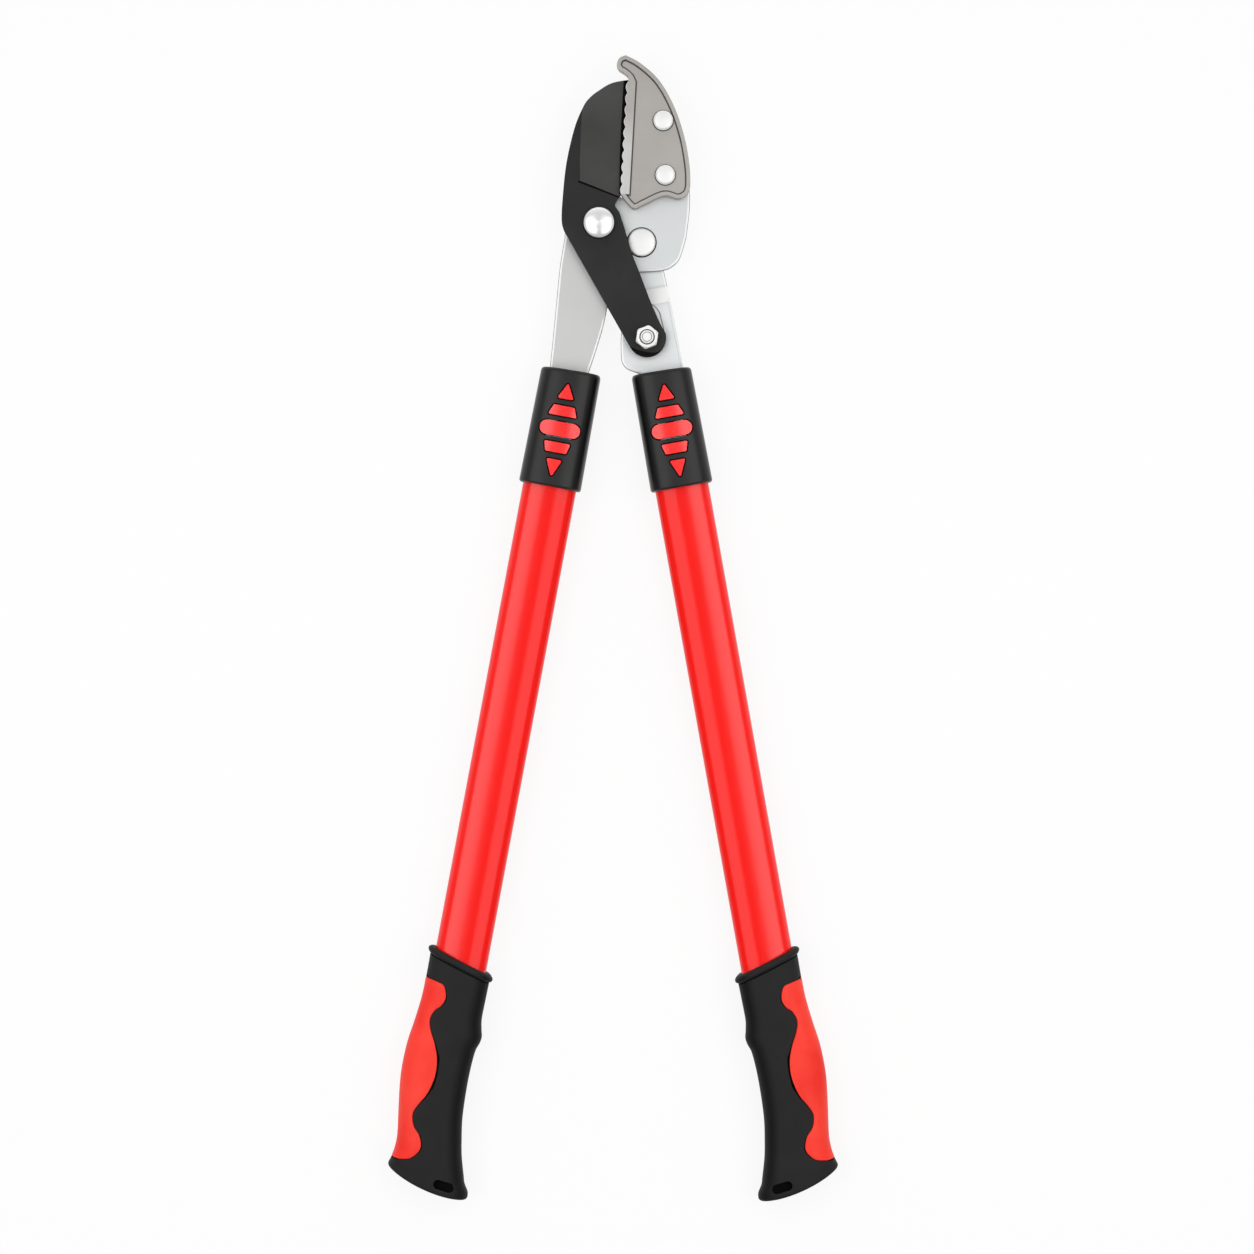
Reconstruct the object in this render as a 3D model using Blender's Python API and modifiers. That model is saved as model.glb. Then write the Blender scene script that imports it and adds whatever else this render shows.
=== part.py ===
"""A telescopic anvil lopper, lying flat with its jaws closed and its handles pushed in.

Metres, +Z up. X = 0 is the line that halves the angle between the handles, +Y points to the jaws,
and z = 0 is the surface it lies on. Right means +X. On each handle, s runs from the top of the collar
down to the grip, u runs across it, outwards, and the third direction is z from the centre plane.
"""

import functools
import math

import bmesh
import bpy
from mathutils import Euler, Vector, geometry

MM = 0.001

# The whole tool
HANDLE_ANGLE = math.radians(10.4)  # each handle from the centre line
COLLAR_FROM_APEX = 0.1532  # from where the handle axes meet to the top of each collar
PIVOT_FROM_APEX = 0.0601  # from there to the main pivot, on the left axis
LEVER_PIVOT = (0.0260, -0.0113)  # from the main pivot
TAIL_PIN = (0.0295, -0.0699)  # from the main pivot
JAW_OPENING = math.radians(42.0)
HANDLE_OPENING = math.radians(63.0)

# Clearances
GAP = 0.0003  # between pieces that touch or run on each other

# Cutting head
PLATE_THICKNESS = 0.0040  # the frame plate
LEVER_THICKNESS = 0.0040
LEVER_STEP_BACK = 0.0010  # from the lever strap's front to its stepped edge and tang
BLADE_THICKNESS = 0.0040
BLADE_STANDOFF = 0.0025  # from the frame plate to the blade
GRIND_WIDTH = 0.0273  # of the blade's ground faces, back from its edge
GRIND_END = 0.0009  # half thickness that they leave at the edge
GRIND_FOOT = -0.0024  # where they begin, from the foot of the edge
GRIND_LEAN = 0.324  # how fast that beginning rises away from the edge
BEVEL_WIDTH = 0.0031  # of the cutting bevel
BEVEL_START = 0.0010  # half thickness where the bevel begins
BEVEL_END = 0.0002
BEVEL_FOOT = -0.0009  # where the bevel begins, from the foot of the edge
ANVIL_THICKNESS = 0.0087
ANVIL_RECESS = 0.0012
ANVIL_RIM = 0.0023
ANVIL_STRIP = 0.0045  # between the scallops and the recess
SCALLOPS = 10
SCALLOP_DEPTH = 0.0012
ANVIL_SLOT_DEPTH = 0.0010  # behind the hollows of the scallops. The blade's edge closes into it
ANVIL_SLOT_END = 0.0020  # beyond the scallops, towards the hook
PIVOT_BOSS_RADIUS = 0.0210
PIVOT_BOLT_RADIUS = 0.0050
PIVOT_HEAD_RADIUS = 0.00965
PIVOT_HEAD_HEIGHT = 0.0040
PIVOT_SPACER_RADIUS = 0.0100
PIVOT_WASHER_RADIUS = 0.0095
PIVOT_WASHER_THICKNESS = 0.0015
PIVOT_NUT_ACROSS = 0.0160
PIVOT_NUT_HEIGHT = 0.0070
LEVER_RIVET_RADIUS = 0.0050
LEVER_RIVET_HEAD = 0.0092
LEVER_RIVET_HEAD_HEIGHT = 0.0019
LEVER_REAR_HEAD_HEIGHT = 0.0025
LEVER_BOSS_RADIUS = 0.0125
LEVER_WASHER_RADIUS = 0.0100
LEVER_WASHER_THICKNESS = 0.0010
TAIL_BOLT_RADIUS = 0.0040
TAIL_HEAD_RADIUS = 0.0070
TAIL_HEAD_HEIGHT = 0.0030
TAIL_WASHER_RADIUS = 0.0080
TAIL_WASHER_THICKNESS = 0.0012
TAIL_NUT_ACROSS = 0.0130
TAIL_NUT_HEIGHT = 0.0065
TAIL_END_RADIUS = 0.0117
WEAR_PLATE_RADIUS = 0.0115
ANVIL_RIVET_RADIUS = 0.0030
ANVIL_RIVET_HEAD = 0.0064
ANVIL_RIVET_HEAD_HEIGHT = 0.0024
ANVIL_RIVET_UPPER = (0.0388, 0.0618)  # from the main pivot
ANVIL_RIVET_LOWER = (0.0402, 0.0288)

# Tubes, width by depth. The handles are pushed in
INNER_WIDTH = 0.0293
INNER_DEPTH = 0.0160
INNER_WALL = 0.0013
INNER_TOP = 0.0040  # s
OUTER_WALL = 0.0013
TUBE_PLAY = 0.0005  # between inner and outer tube, on each side
OUTER_TOP = 0.0423  # s
OUTER_LENGTH = 0.4450
TUBE_END_ROOM = 0.0533  # from the inner tube's end to the outer tube's end
TRAVEL = 0.3000  # of the outer tube along the inner tube
DETENT_STEPS = 3

OUTER_WIDTH = INNER_WIDTH + 2 * (TUBE_PLAY + OUTER_WALL)
OUTER_DEPTH = INNER_DEPTH + 2 * (TUBE_PLAY + OUTER_WALL)
OUTER_END = OUTER_TOP + OUTER_LENGTH
INNER_END = OUTER_END - TUBE_END_ROOM

# Strap tang and its plug
STRAP_SHOULDER = 0.0127  # half width of both straps where their tangs begin
TANG_HALF_WIDTH = 0.0100
TANG_END = 0.0400  # s
PLUG_LENGTH = 0.0397
TANG_RIVET_RADIUS = 0.0025
TANG_RIVET_UPPER = 0.0140  # s
TANG_RIVET_LOWER = 0.0300  # s
END_BUSH_SPIGOT = 0.0140
END_BUSH_FLANGE = 0.0055

# Collar
COLLAR_LENGTH = 0.0700
COLLAR_TOP_WALL = 0.0019  # beyond the outer tube's width, each side, at the collar's top
COLLAR_BOTTOM_WALL = 0.00265  # and at its bottom
COLLAR_FACE_WALL = 0.0052  # beyond the outer tube's depth, front and back
COLLAR_ROUNDNESS = 2.8
COLLAR_FLAT = 0.0100  # width of the flat strip down each face
COLLAR_SIDE_FLAT = 0.0060  # and down each side
COLLAR_CURVE_STEPS = 4  # of each quarter of its section
COLLAR_EDGE = 0.0010
GUIDE_TOP = 0.0010  # s
GUIDE_BOTTOM = 0.0277  # s
GUIDE_WALL = 0.0012
LOCK_PLACE = 0.0350  # s of the middle of the button
LOCK_TRAVEL = 0.0020
STIRRUP_WIDTH = 0.0080  # along s
STIRRUP_STRIP = 0.0012
STIRRUP_CORNER = 0.0080  # radius outside
BUTTON_LENGTH = 0.0247
BUTTON_WIDTH = 0.0088
BUTTON_PROUD = 0.0008
BUTTON_EDGE = 0.0007
TOOTH_HALF_WIDTH = 0.0025
TOOTH_HEIGHT = 0.0007
SPRING_STRIP = 0.0004
SPRING_HALF_SPAN = 0.0082
SPRING_HALF_WIDTH = 0.0030
BACK_WALL = 0.0018
INLAY_THICKNESS = 0.0019
INLAY_PROUD = 0.0002
INLAY_CORNER = 0.0008

# Grip
GRIP_SLANT = 0.322  # rim and butt: change of s across the grip
GRIP_OVERLAP = 0.1221  # from the rim to the outer tube's end, on the axis
GRIP_BUTT_LENGTH = 0.0137  # from the outer tube's end to the butt, on the axis
GRIP_CORNER_LOSS = 0.0016  # what rounding the butt's inner corner takes off the tool's length
GRIP_BEAD = 0.0012
GRIP_INLAY_THICKNESS = 0.0010
GRIP_INLAY_MARGIN = 0.0006  # of its pocket, along the skin
GRIP_END_RADIUS = 0.0080  # of the skin where the inlay ends

COLLAR_TOP_WIDTH = OUTER_WIDTH + 2 * COLLAR_TOP_WALL
COLLAR_BOTTOM_WIDTH = OUTER_WIDTH + 2 * COLLAR_BOTTOM_WALL
COLLAR_DEPTH = OUTER_DEPTH + 2 * COLLAR_FACE_WALL
MID = COLLAR_DEPTH / 2  # height of the centre plane, and half depth where the grip rests
GRIP_RIM = OUTER_END - GRIP_OVERLAP
GRIP_BUTT = OUTER_END + GRIP_BUTT_LENGTH

# Outlines in millimetres from the main pivot, x right and y towards the jaws
BLADE_BACK = [
    (17.8, 86.4), (7.4, 84.1), (-0.4, 79.8), (-5.8, 75.9), (-9.7, 70.5), (-15.1, 57.2),
    (-20.0, 35.4), (-22.3, 12.1), (-22.6, 0.5), (-21.2, -5.0),
]
BLADE_THROAT = [(37.8, -61.9), (31.8, -48.4), (25.7, -32.6), (20.2, -18.6), (16.4, -6.0), (12.4, 6.4)]
BLADE_NOTCH = [(12.4, 6.4), (10.1, 9.6), (10.0, 11.8), (12.2, 15.4), (14.2, 17.6)]
ANVIL_HOOK = [(17.6, 88.3), (15.2, 90.4), (11.9, 92.6), (10.5, 95.8), (12.2, 99.7), (15.9, 101.4)]
ANVIL_BACK = [
    (15.9, 101.4), (25.2, 97.0), (36.9, 86.2), (45.6, 69.9), (51.9, 51.2), (55.0, 33.4), (55.4, 22.0),
]
ANVIL_FOOT = [
    (55.4, 22.0), (53.6, 17.2), (48.1, 14.4), (39.5, 16.2), (27.9, 11.1), (21.7, 8.3), (17.6, 11.2),
    (13.8, 16.2),
]
ANVIL_FACE = [(13.8, 16.2), (17.4, 85.5)]  # the line of the hollows between the scallops
CARRIER_BACK = [(44.4, 68.0), (49.6, 52.0), (53.0, 38.0), (54.9, 24.0), (55.3, 10.0), (53.3, -8.3)]
CARRIER_HEEL = [(53.3, -8.3), (49.6, -20.4), (39.8, -29.2), (24.6, -30.4)]
CARRIER_FRONT = [(16.2, 18.5), (20.2, 30.0), (23.8, 50.0), (27.5, 67.0)]
CARRIER_TOP = [(27.5, 67.0), (32.0, 73.5), (40.0, 73.6), (44.4, 68.0)]
STRAP_FILLET = [(24.6, -30.4), (14.5, -32.6), (8.6, -38.5), (5.0, -52.4)]
STRAP_INNER_EDGE = [(5.0, -52.4), (2.6, -63.4), (-1.7, -78.0), (-6.6, -92.6)]
STRAP_OUTER_EDGE = [(-29.9, -90.5), (-27.9, -70.8), (-26.2, -52.5), (-23.8, -26.9), (-20.9, -8.6)]

# The lever strap in millimetres from the lever rivet, y along the handle towards the jaws
LEVER_RIGHT = [(10.2, -12.0), (10.3, -21.3), (10.6, -45.0), (11.1, -84.0)]
LEVER_LEFT = [
    (-13.0, -80.2), (-15.6, -78.4), (-21.6, -74.8), (-24.2, -71.2), (-24.5, -66.0), (-21.8, -51.4),
    (-16.5, -38.0), (-12.8, -28.0), (-12.2, -12.0),
]
LEVER_FACE_RIGHT = [(9.3, -36.9), (9.3, -74.5), (8.4, -77.6), (5.4, -79.3), (-13.0, -80.4)]
LEVER_JOGGLE = (-29.5, -37.5)  # y of its two bends

# Grip profiles in millimetres: s beyond the outer tube's end, against the distance outside the tube
GRIP_INNER = [
    (-117.8, 3.15), (-98.3, 2.95), (-90.3, 2.85), (-84.3, 3.75), (-79.8, 4.75), (-75.3, 4.35),
    (-68.8, 2.75), (-58.3, 1.85), (-43.3, 1.75), (-28.3, 2.45), (-14.3, 4.55), (0.7, 8.05),
    (12.7, 12.35), (26.7, 17.05),
]
GRIP_OUTER = [
    (-132.3, 2.75), (-113.3, 2.75), (-98.3, 2.95), (-83.3, 4.55), (-68.8, 6.65), (-54.3, 7.25),
    (-43.3, 6.55), (-28.3, 4.45), (-14.3, 2.45), (-6.3, 2.15), (0.7, 3.15), (9.7, 5.85),
]
GRIP_FACES = [
    (-132.3, 3.8), (-107.3, 3.6), (-77.3, 4.4), (-47.3, 4.6), (-17.3, 4), (4.7, 4.9), (18.7, 5.2),
    (32.7, 5.2),
]
# The inlay's wavy edge: s beyond the outer tube's end, against u
GRIP_INLAY_EDGE = [
    (-107.7, 17.5), (-106.7, 11), (-104.3, 6.6), (-98.3, 4.5), (-92.8, 6.4), (-88.8, 9.7),
    (-83.3, 11.2), (-77.8, 9.9), (-70.3, 6.1), (-62.3, 3.1), (-54.3, 2), (-46.3, 2.8), (-38.3, 5.2),
    (-31.3, 8.9), (-24.8, 10.8), (-18.3, 9.4), (-12.8, 5), (-6.3, 2.5), (-1.3, 4.2), (2.3, 8.4),
    (3.7, 15.5),
]

# Red windows in the collar, in millimetres from the middle of its button
ARROW_TOP = [(0, 28.5), (5.1, 18.5), (-5.1, 18.5)]
BAR_UPPER = [(6.3, 14.3), (8.9, 8.1), (-8.9, 8.1), (-6.3, 14.3)]
BAR_LOWER = [(8.1, -8.1), (6.4, -14.3), (-6.4, -14.3), (-8.1, -8.1)]
ARROW_BOTTOM = [(4.9, -18.5), (0, -29.7), (-4.9, -18.5)]

GRIP_STATIONS = 12
GRIP_POINTS = 20
GRIP_ROUNDNESS = 2.5

HANG_SLOT = (0.0127, 0.0055)  # recess for hanging, length and width
HANG_PLACE = (0.0117, -0.0154)  # s beyond the outer tube's end, and u
HANG_LEAN = math.radians(8.5)  # of the recess, from square across the handle
HANG_DEPTH = 0.0030

# Facets
SHANK_FACETS = 16
HEAD_FACETS = 16
WASHER_FACETS = 12
ARC_STEP = math.radians(22.5)
SMALL_ARC_STEP = math.radians(45.0)
SMALL_RADIUS = 0.0020


def cleared_scene():
    """Empty the scene, and return the collection of pieces and the collection of cutters."""
    for item in list(bpy.data.objects):
        bpy.data.objects.remove(item, do_unlink=True)
    made = []
    for name in ("telescopic_lopper", "cutters"):
        collection = bpy.data.collections.new(name)
        bpy.context.scene.collection.children.link(collection)
        made.append(collection)
    return made


PIECES, CUTTERS = cleared_scene()


def material(name, colour, roughness, metallic=0.0):
    """A Principled material of one colour."""
    made = bpy.data.materials.new(name)
    made.use_nodes = True
    shader = made.node_tree.nodes["Principled BSDF"]
    shader.inputs["Base Color"].default_value = (*colour, 1.0)
    shader.inputs["Roughness"].default_value = roughness
    shader.inputs["Metallic"].default_value = metallic
    return made


def steel(name):
    return material(name, (0.66, 0.68, 0.68), 0.35, 0.9)


def bright_steel(name):
    return material(name, (0.80, 0.80, 0.79), 0.22, 1.0)


def coated_steel(name):
    return material(name, (0.035, 0.035, 0.035), 0.45, 0.3)


def cast_alloy(name):
    return material(name, (0.42, 0.38, 0.36), 0.5, 0.6)


def red_paint(name):
    return material(name, (0.90, 0.020, 0.012), 0.25)


def red_rubber(name):
    return material(name, (0.92, 0.045, 0.030), 0.5)


def black_plastic(name):
    return material(name, (0.022, 0.022, 0.022), 0.5)


def grey_plastic(name):
    return material(name, (0.25, 0.25, 0.25), 0.5)


def pivot(name, parent=None, place=(0, 0, 0), turn=0.0):
    """An empty that carries the pieces of one axis."""
    empty = bpy.data.objects.new(name, None)
    PIECES.objects.link(empty)
    empty.parent = parent
    empty.location = place
    empty.rotation_euler.z = turn
    return empty


def piece(name, mesh, parent, finish, place=(0, 0, 0), turn=(0, 0, 0)):
    """A piece of the tool: a mesh under its parent, with its own material."""
    item = bpy.data.objects.new(name, mesh)
    PIECES.objects.link(item)
    item.parent = parent
    item.location = place
    item.rotation_euler = turn
    mesh.shade_smooth()
    mesh.set_sharp_from_angle(angle=math.radians(35.0))
    mesh.materials.append(finish(name))
    return item


def cutter(name, mesh, parent, place=(0, 0, 0), turn=(0, 0, 0)):
    """A shape that only cuts or joins others."""
    item = bpy.data.objects.new(name, mesh)
    CUTTERS.objects.link(item)
    item.parent = parent
    item.location = place
    item.rotation_euler = turn
    item.hide_render = True
    item.display_type = "WIRE"
    return item


def combine(item, other, operation="DIFFERENCE"):
    step = item.modifiers.new(other.name, "BOOLEAN")
    step.operation = operation
    step.solver = "EXACT"
    step.object = other


def through(keys, steps=4):
    """Points on a smooth curve through the keys. Two keys give a straight line."""
    if len(keys) == 2:
        return list(keys)
    points = []
    ends = [keys[0], *keys, keys[-1]]
    for before, start, end, after in zip(ends, ends[1:], ends[2:], ends[3:]):
        for step in range(steps):
            t = step / steps
            weights = (
                -t * (1 - t) ** 2 / 2,
                1 + t * t * (3 * t - 5) / 2,
                t * (1 + t * (4 - 3 * t)) / 2,
                -t * t * (1 - t) / 2,
            )
            corners = (before, start, end, after)
            points.append(
                tuple(sum(w * c[axis] for w, c in zip(weights, corners)) for axis in (0, 1))
            )
    points.append(tuple(keys[-1]))
    return points


def arc(centre, radius, start, end):
    """Points on an arc, from one angle to the other."""
    facet = ARC_STEP if radius > SMALL_RADIUS else SMALL_ARC_STEP
    steps = max(1, math.ceil(abs(end - start) / facet - 0.01))
    return [
        (
            centre[0] + radius * math.cos(start + (end - start) * i / steps),
            centre[1] + radius * math.sin(start + (end - start) * i / steps),
        )
        for i in range(steps + 1)
    ]


def circle(centre, radius, facets=SHANK_FACETS):
    return [
        (
            centre[0] + radius * math.cos(math.tau * i / facets),
            centre[1] + radius * math.sin(math.tau * i / facets),
        )
        for i in range(facets)
    ]


def joined(*stretches):
    """One closed outline from stretches that share their ends."""
    outline = []
    for stretch in stretches:
        for point in stretch:
            if not outline or math.dist(point, outline[-1]) > 0.01 * MM:
                outline.append(point)
    if math.dist(outline[0], outline[-1]) < 0.01 * MM:
        outline.pop()
    return outline


def scaled(points):
    """Millimetres to metres."""
    return [(x * MM, y * MM) for x, y in points]


def rounded(corners, radius):
    """A polygon with an arc at each corner. A corner may give its own radius as a third value."""
    outline = []
    for index, corner in enumerate(corners):
        here = Vector(corner[:2])
        size = corner[2] if len(corner) > 2 else radius
        before = (Vector(corners[index - 1][:2]) - here).normalized()
        after = (Vector(corners[(index + 1) % len(corners)][:2]) - here).normalized()
        half = before.angle(after) / 2
        centre = here + (before + after).normalized() * size / math.sin(half)
        start = here + before * size / math.tan(half) - centre
        end = here + after * size / math.tan(half) - centre
        first = math.atan2(start.y, start.x)
        swept = (math.atan2(end.y, end.x) - first + math.pi) % math.tau - math.pi
        outline += arc(centre, size, first, first + swept)
    return outline


def obround(width, depth):
    """The section of a tube with flat faces and round edges."""
    radius = depth / 2
    reach = width / 2 - radius
    right = arc((reach, 0), radius, -math.pi / 2, math.pi / 2)
    return right + [(-x, -y) for x, y in right]


def box_outline(half_x, low_y, high_y, radius):
    corners = [(half_x, low_y), (half_x, high_y), (-half_x, high_y), (-half_x, low_y)]
    return rounded(corners, radius)


def sheet(name, outlines, low, high):
    """A flat sheet between two heights, with the outlines after the first as holes."""
    data = bpy.data.curves.new(name, "CURVE")
    data.dimensions = "2D"
    data.fill_mode = "BOTH"
    data.extrude = (high - low) / 2
    for outline in outlines:
        spline = data.splines.new("POLY")
        spline.points.add(len(outline) - 1)
        for point, (x, y) in zip(spline.points, outline):
            point.co = (x, y, 0, 1)
        spline.use_cyclic_u = True
    blank = bpy.data.objects.new(name, data)
    CUTTERS.objects.link(blank)
    graph = bpy.context.evaluated_depsgraph_get()
    mesh = bpy.data.meshes.new_from_object(blank.evaluated_get(graph))
    bpy.data.objects.remove(blank, do_unlink=True)
    shape = bmesh.new()
    shape.from_mesh(mesh)
    bmesh.ops.remove_doubles(shape, verts=shape.verts, dist=0.001 * MM)
    bmesh.ops.translate(shape, verts=shape.verts, vec=(0, 0, (high + low) / 2))
    bmesh.ops.recalc_face_normals(shape, faces=shape.faces)
    shape.to_mesh(mesh)
    shape.free()
    return mesh


def loft(name, rings):
    """Skin rings of one point count, with a flat face at each end."""
    shape = bmesh.new()
    rows = [[shape.verts.new(point) for point in ring] for ring in rings]
    for row, after in zip(rows, rows[1:]):
        for i in range(len(row)):
            j = (i + 1) % len(row)
            shape.faces.new((row[i], row[j], after[j], after[i]))
    bmesh.ops.triangulate(shape, faces=shape.faces, quad_method="FIXED")
    shape.faces.new(rows[0][::-1])
    shape.faces.new(rows[-1])
    bmesh.ops.recalc_face_normals(shape, faces=shape.faces)
    mesh = bpy.data.meshes.new(name)
    shape.to_mesh(mesh)
    shape.free()
    return mesh


def turned(name, profile, parent, finish=None, place=(0, 0, 0), ring=False, facets=SHANK_FACETS):
    """A turned piece from its profile (radius, height), top to bottom along its outer side."""
    edges = [(i, i + 1) for i in range(len(profile) - 1)]
    if ring:
        edges.append((len(profile) - 1, 0))
    mesh = bpy.data.meshes.new(name)
    mesh.from_pydata([(radius, 0, height) for radius, height in profile], edges, [])
    if finish:
        item = piece(name, mesh, parent, finish, place)
    else:
        item = cutter(name, mesh, parent, place)
    screw = item.modifiers.new("turn", "SCREW")
    screw.steps = facets
    screw.render_steps = facets
    screw.use_merge_vertices = True
    screw.merge_threshold = 0.001 * MM
    return item


def washer_profile(inner, outer, low, high):
    return [(outer, high), (outer, low), (inner, low), (inner, high)]


def hex_nut(name, parent, finish, across, height, bore, low, facing):
    """A lock nut on the z axis, with chamfered corners and a raised collar on its facing side."""
    corner = across / math.sqrt(3) * 0.985
    chamfer = 0.07 * across
    collar = across * 0.39
    shoulder = height * 0.8
    profile = [
        (collar, height), (collar, shoulder), (across / 2 * 0.96, shoulder),
        (corner, shoulder - chamfer), (corner, chamfer), (across / 2 * 0.96, 0), (bore, 0), (bore, height),
    ]
    if facing < 0:
        profile = [(radius, -z) for radius, z in profile][::-1]
    nut = turned(name, profile, parent, finish, (0, 0, low), ring=True)
    bar = circle((0, 0), across / math.sqrt(3), 6)
    turn = (0, 0, math.radians(7.0))
    blank = cutter(f"{name}_hexagon", sheet("hexagon", [bar], -height * 1.5, height * 1.5), parent,
                   (0, 0, low), turn)
    combine(nut, blank, "INTERSECT")
    return nut


# Layers of the head, as heights from the centre plane
PLATE_FRONT = PLATE_THICKNESS / 2
BLADE_BACK_Z = PLATE_FRONT + BLADE_STANDOFF
BLADE_FRONT_Z = BLADE_BACK_Z + BLADE_THICKNESS
ANVIL_BACK_Z = PLATE_FRONT + GAP
LEVER_FRONT = LEVER_THICKNESS / 2
BOSS_FRONT = -PLATE_FRONT - GAP  # the lever strap's upper end lies behind the frame plate


PROFILES = {
    "inner": scaled(through(GRIP_INNER, 3)),
    "outer": scaled(through(GRIP_OUTER, 3)),
    "faces": scaled(through(GRIP_FACES, 3)),
    "inlay": scaled(through(GRIP_INLAY_EDGE, 3)),
}


@functools.cache
def value_at(name, s):
    """Read one of the grip's profiles at an s of the handle."""
    points = PROFILES[name]
    place = s - OUTER_END
    if place <= points[0][0]:
        return points[0][1]
    for (left, low), (right, high) in zip(points, points[1:]):
        if place <= right:
            return low + (high - low) * (place - left) / (right - left)
    return points[-1][1]


def grip_side(name, s):
    """The u of the grip's inner or outer side at an s of the handle."""
    hand = -1 if name == "inner" else 1
    return hand * (OUTER_WIDTH / 2 + value_at(name, s))


@functools.cache
def grip_edge(station, name):
    """Where a slanted section of the grip meets one of its sides: its s and u."""
    u = 0.0
    for _ in range(12):
        u = grip_side(name, station - GRIP_SLANT * u)
    return station - GRIP_SLANT * u, u


def apex():
    """Where the handle axes meet: placed so that the tool's box is centred on y = 0."""
    hook_top = max(y for _, y in ANVIL_BACK) * MM - PIVOT_FROM_APEX * math.cos(HANDLE_ANGLE)
    s, u = grip_edge(GRIP_BUTT, "inner")
    butt = -(COLLAR_FROM_APEX + s) * math.cos(HANDLE_ANGLE) + u * math.sin(HANDLE_ANGLE)
    return -(hook_top + butt + GRIP_CORNER_LOSS) / 2


def main_pivot_place():
    return (
        -PIVOT_FROM_APEX * math.sin(HANDLE_ANGLE),
        apex() - PIVOT_FROM_APEX * math.cos(HANDLE_ANGLE),
    )


def lever_pivot_place():
    x, y = main_pivot_place()
    return (x + LEVER_PIVOT[0], y + LEVER_PIVOT[1])


def handle_top(side):
    """The middle of the collar's top on the handle's axis."""
    return (
        side * COLLAR_FROM_APEX * math.sin(HANDLE_ANGLE),
        apex() - COLLAR_FROM_APEX * math.cos(HANDLE_ANGLE),
    )


def on_handle(side, s, u):
    """A point of a handle in the tool's plane."""
    x, y = handle_top(side)
    sine, cosine = math.sin(HANDLE_ANGLE), math.cos(HANDLE_ANGLE)
    return (x + side * (s * sine + u * cosine), y - s * cosine + u * sine)


def from_pivot(point, origin, turn=0.0):
    """A point of the tool's plane, seen from a pivot whose axes are turned."""
    dx, dy = point[0] - origin[0], point[1] - origin[1]
    return (
        dx * math.cos(turn) + dy * math.sin(turn),
        dy * math.cos(turn) - dx * math.sin(turn),
    )


def pin_path():
    """The tail pin's path in the lever strap while both turn at their steady ratio."""
    steps = 4
    start = math.atan2(TAIL_PIN[1], TAIL_PIN[0])
    reach = math.hypot(*TAIL_PIN)
    path = []
    for step in range(steps + 1):
        share = step / steps
        angle = start + JAW_OPENING * share
        pin = (reach * math.cos(angle), reach * math.sin(angle))
        path.append(from_pivot(pin, LEVER_PIVOT, HANDLE_ANGLE + HANDLE_OPENING * share))
    return path


def swept(path, radius):
    """The outline that a circle sweeps along a path, with its hollow side filled straight."""
    points = [point for centre in path for point in circle(centre, radius)]
    return [points[index] for index in geometry.convex_hull_2d(points)]


def anvil_rivets():
    return {"upper": ANVIL_RIVET_UPPER, "lower": ANVIL_RIVET_LOWER}


def tang_rivets():
    return {"upper": TANG_RIVET_UPPER, "lower": TANG_RIVET_LOWER}


def anvil_face(scallops):
    """The anvil's cutting face from its foot to the hook: round scallops, or the plain line."""
    start, end = (Vector(point) * MM for point in ANVIL_FACE)
    if not scallops:
        return [tuple(start), tuple(end)]
    steps = 4
    outwards = Vector((start.y - end.y, end.x - start.x)).normalized() * SCALLOP_DEPTH
    points = []
    for index in range(SCALLOPS * steps + 1):
        share = index / (SCALLOPS * steps)
        bulge = abs(math.sin(math.pi * SCALLOPS * share))
        points.append(tuple(start.lerp(end, share) + outwards * bulge))
    return points


def anvil_outline(scallops=True):
    return joined(
        anvil_face(scallops),
        scaled(through(ANVIL_HOOK, 3)),
        scaled(through(ANVIL_BACK, 3)),
        scaled(through(ANVIL_FOOT, 3)),
    )


def inset(outline, width):
    """Move the sides of a clockwise outline inwards."""
    moved = []
    for index, point in enumerate(outline):
        here = Vector(point)
        before = (here - Vector(outline[index - 1])).normalized()
        after = (Vector(outline[(index + 1) % len(outline)]) - here).normalized()
        normal = Vector((before.y + after.y, -before.x - after.x)).normalized()
        lean = max(normal.dot(Vector((before.y, -before.x))), 0.5)
        moved.append(tuple(here + normal * width / lean))
    return moved


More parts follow.
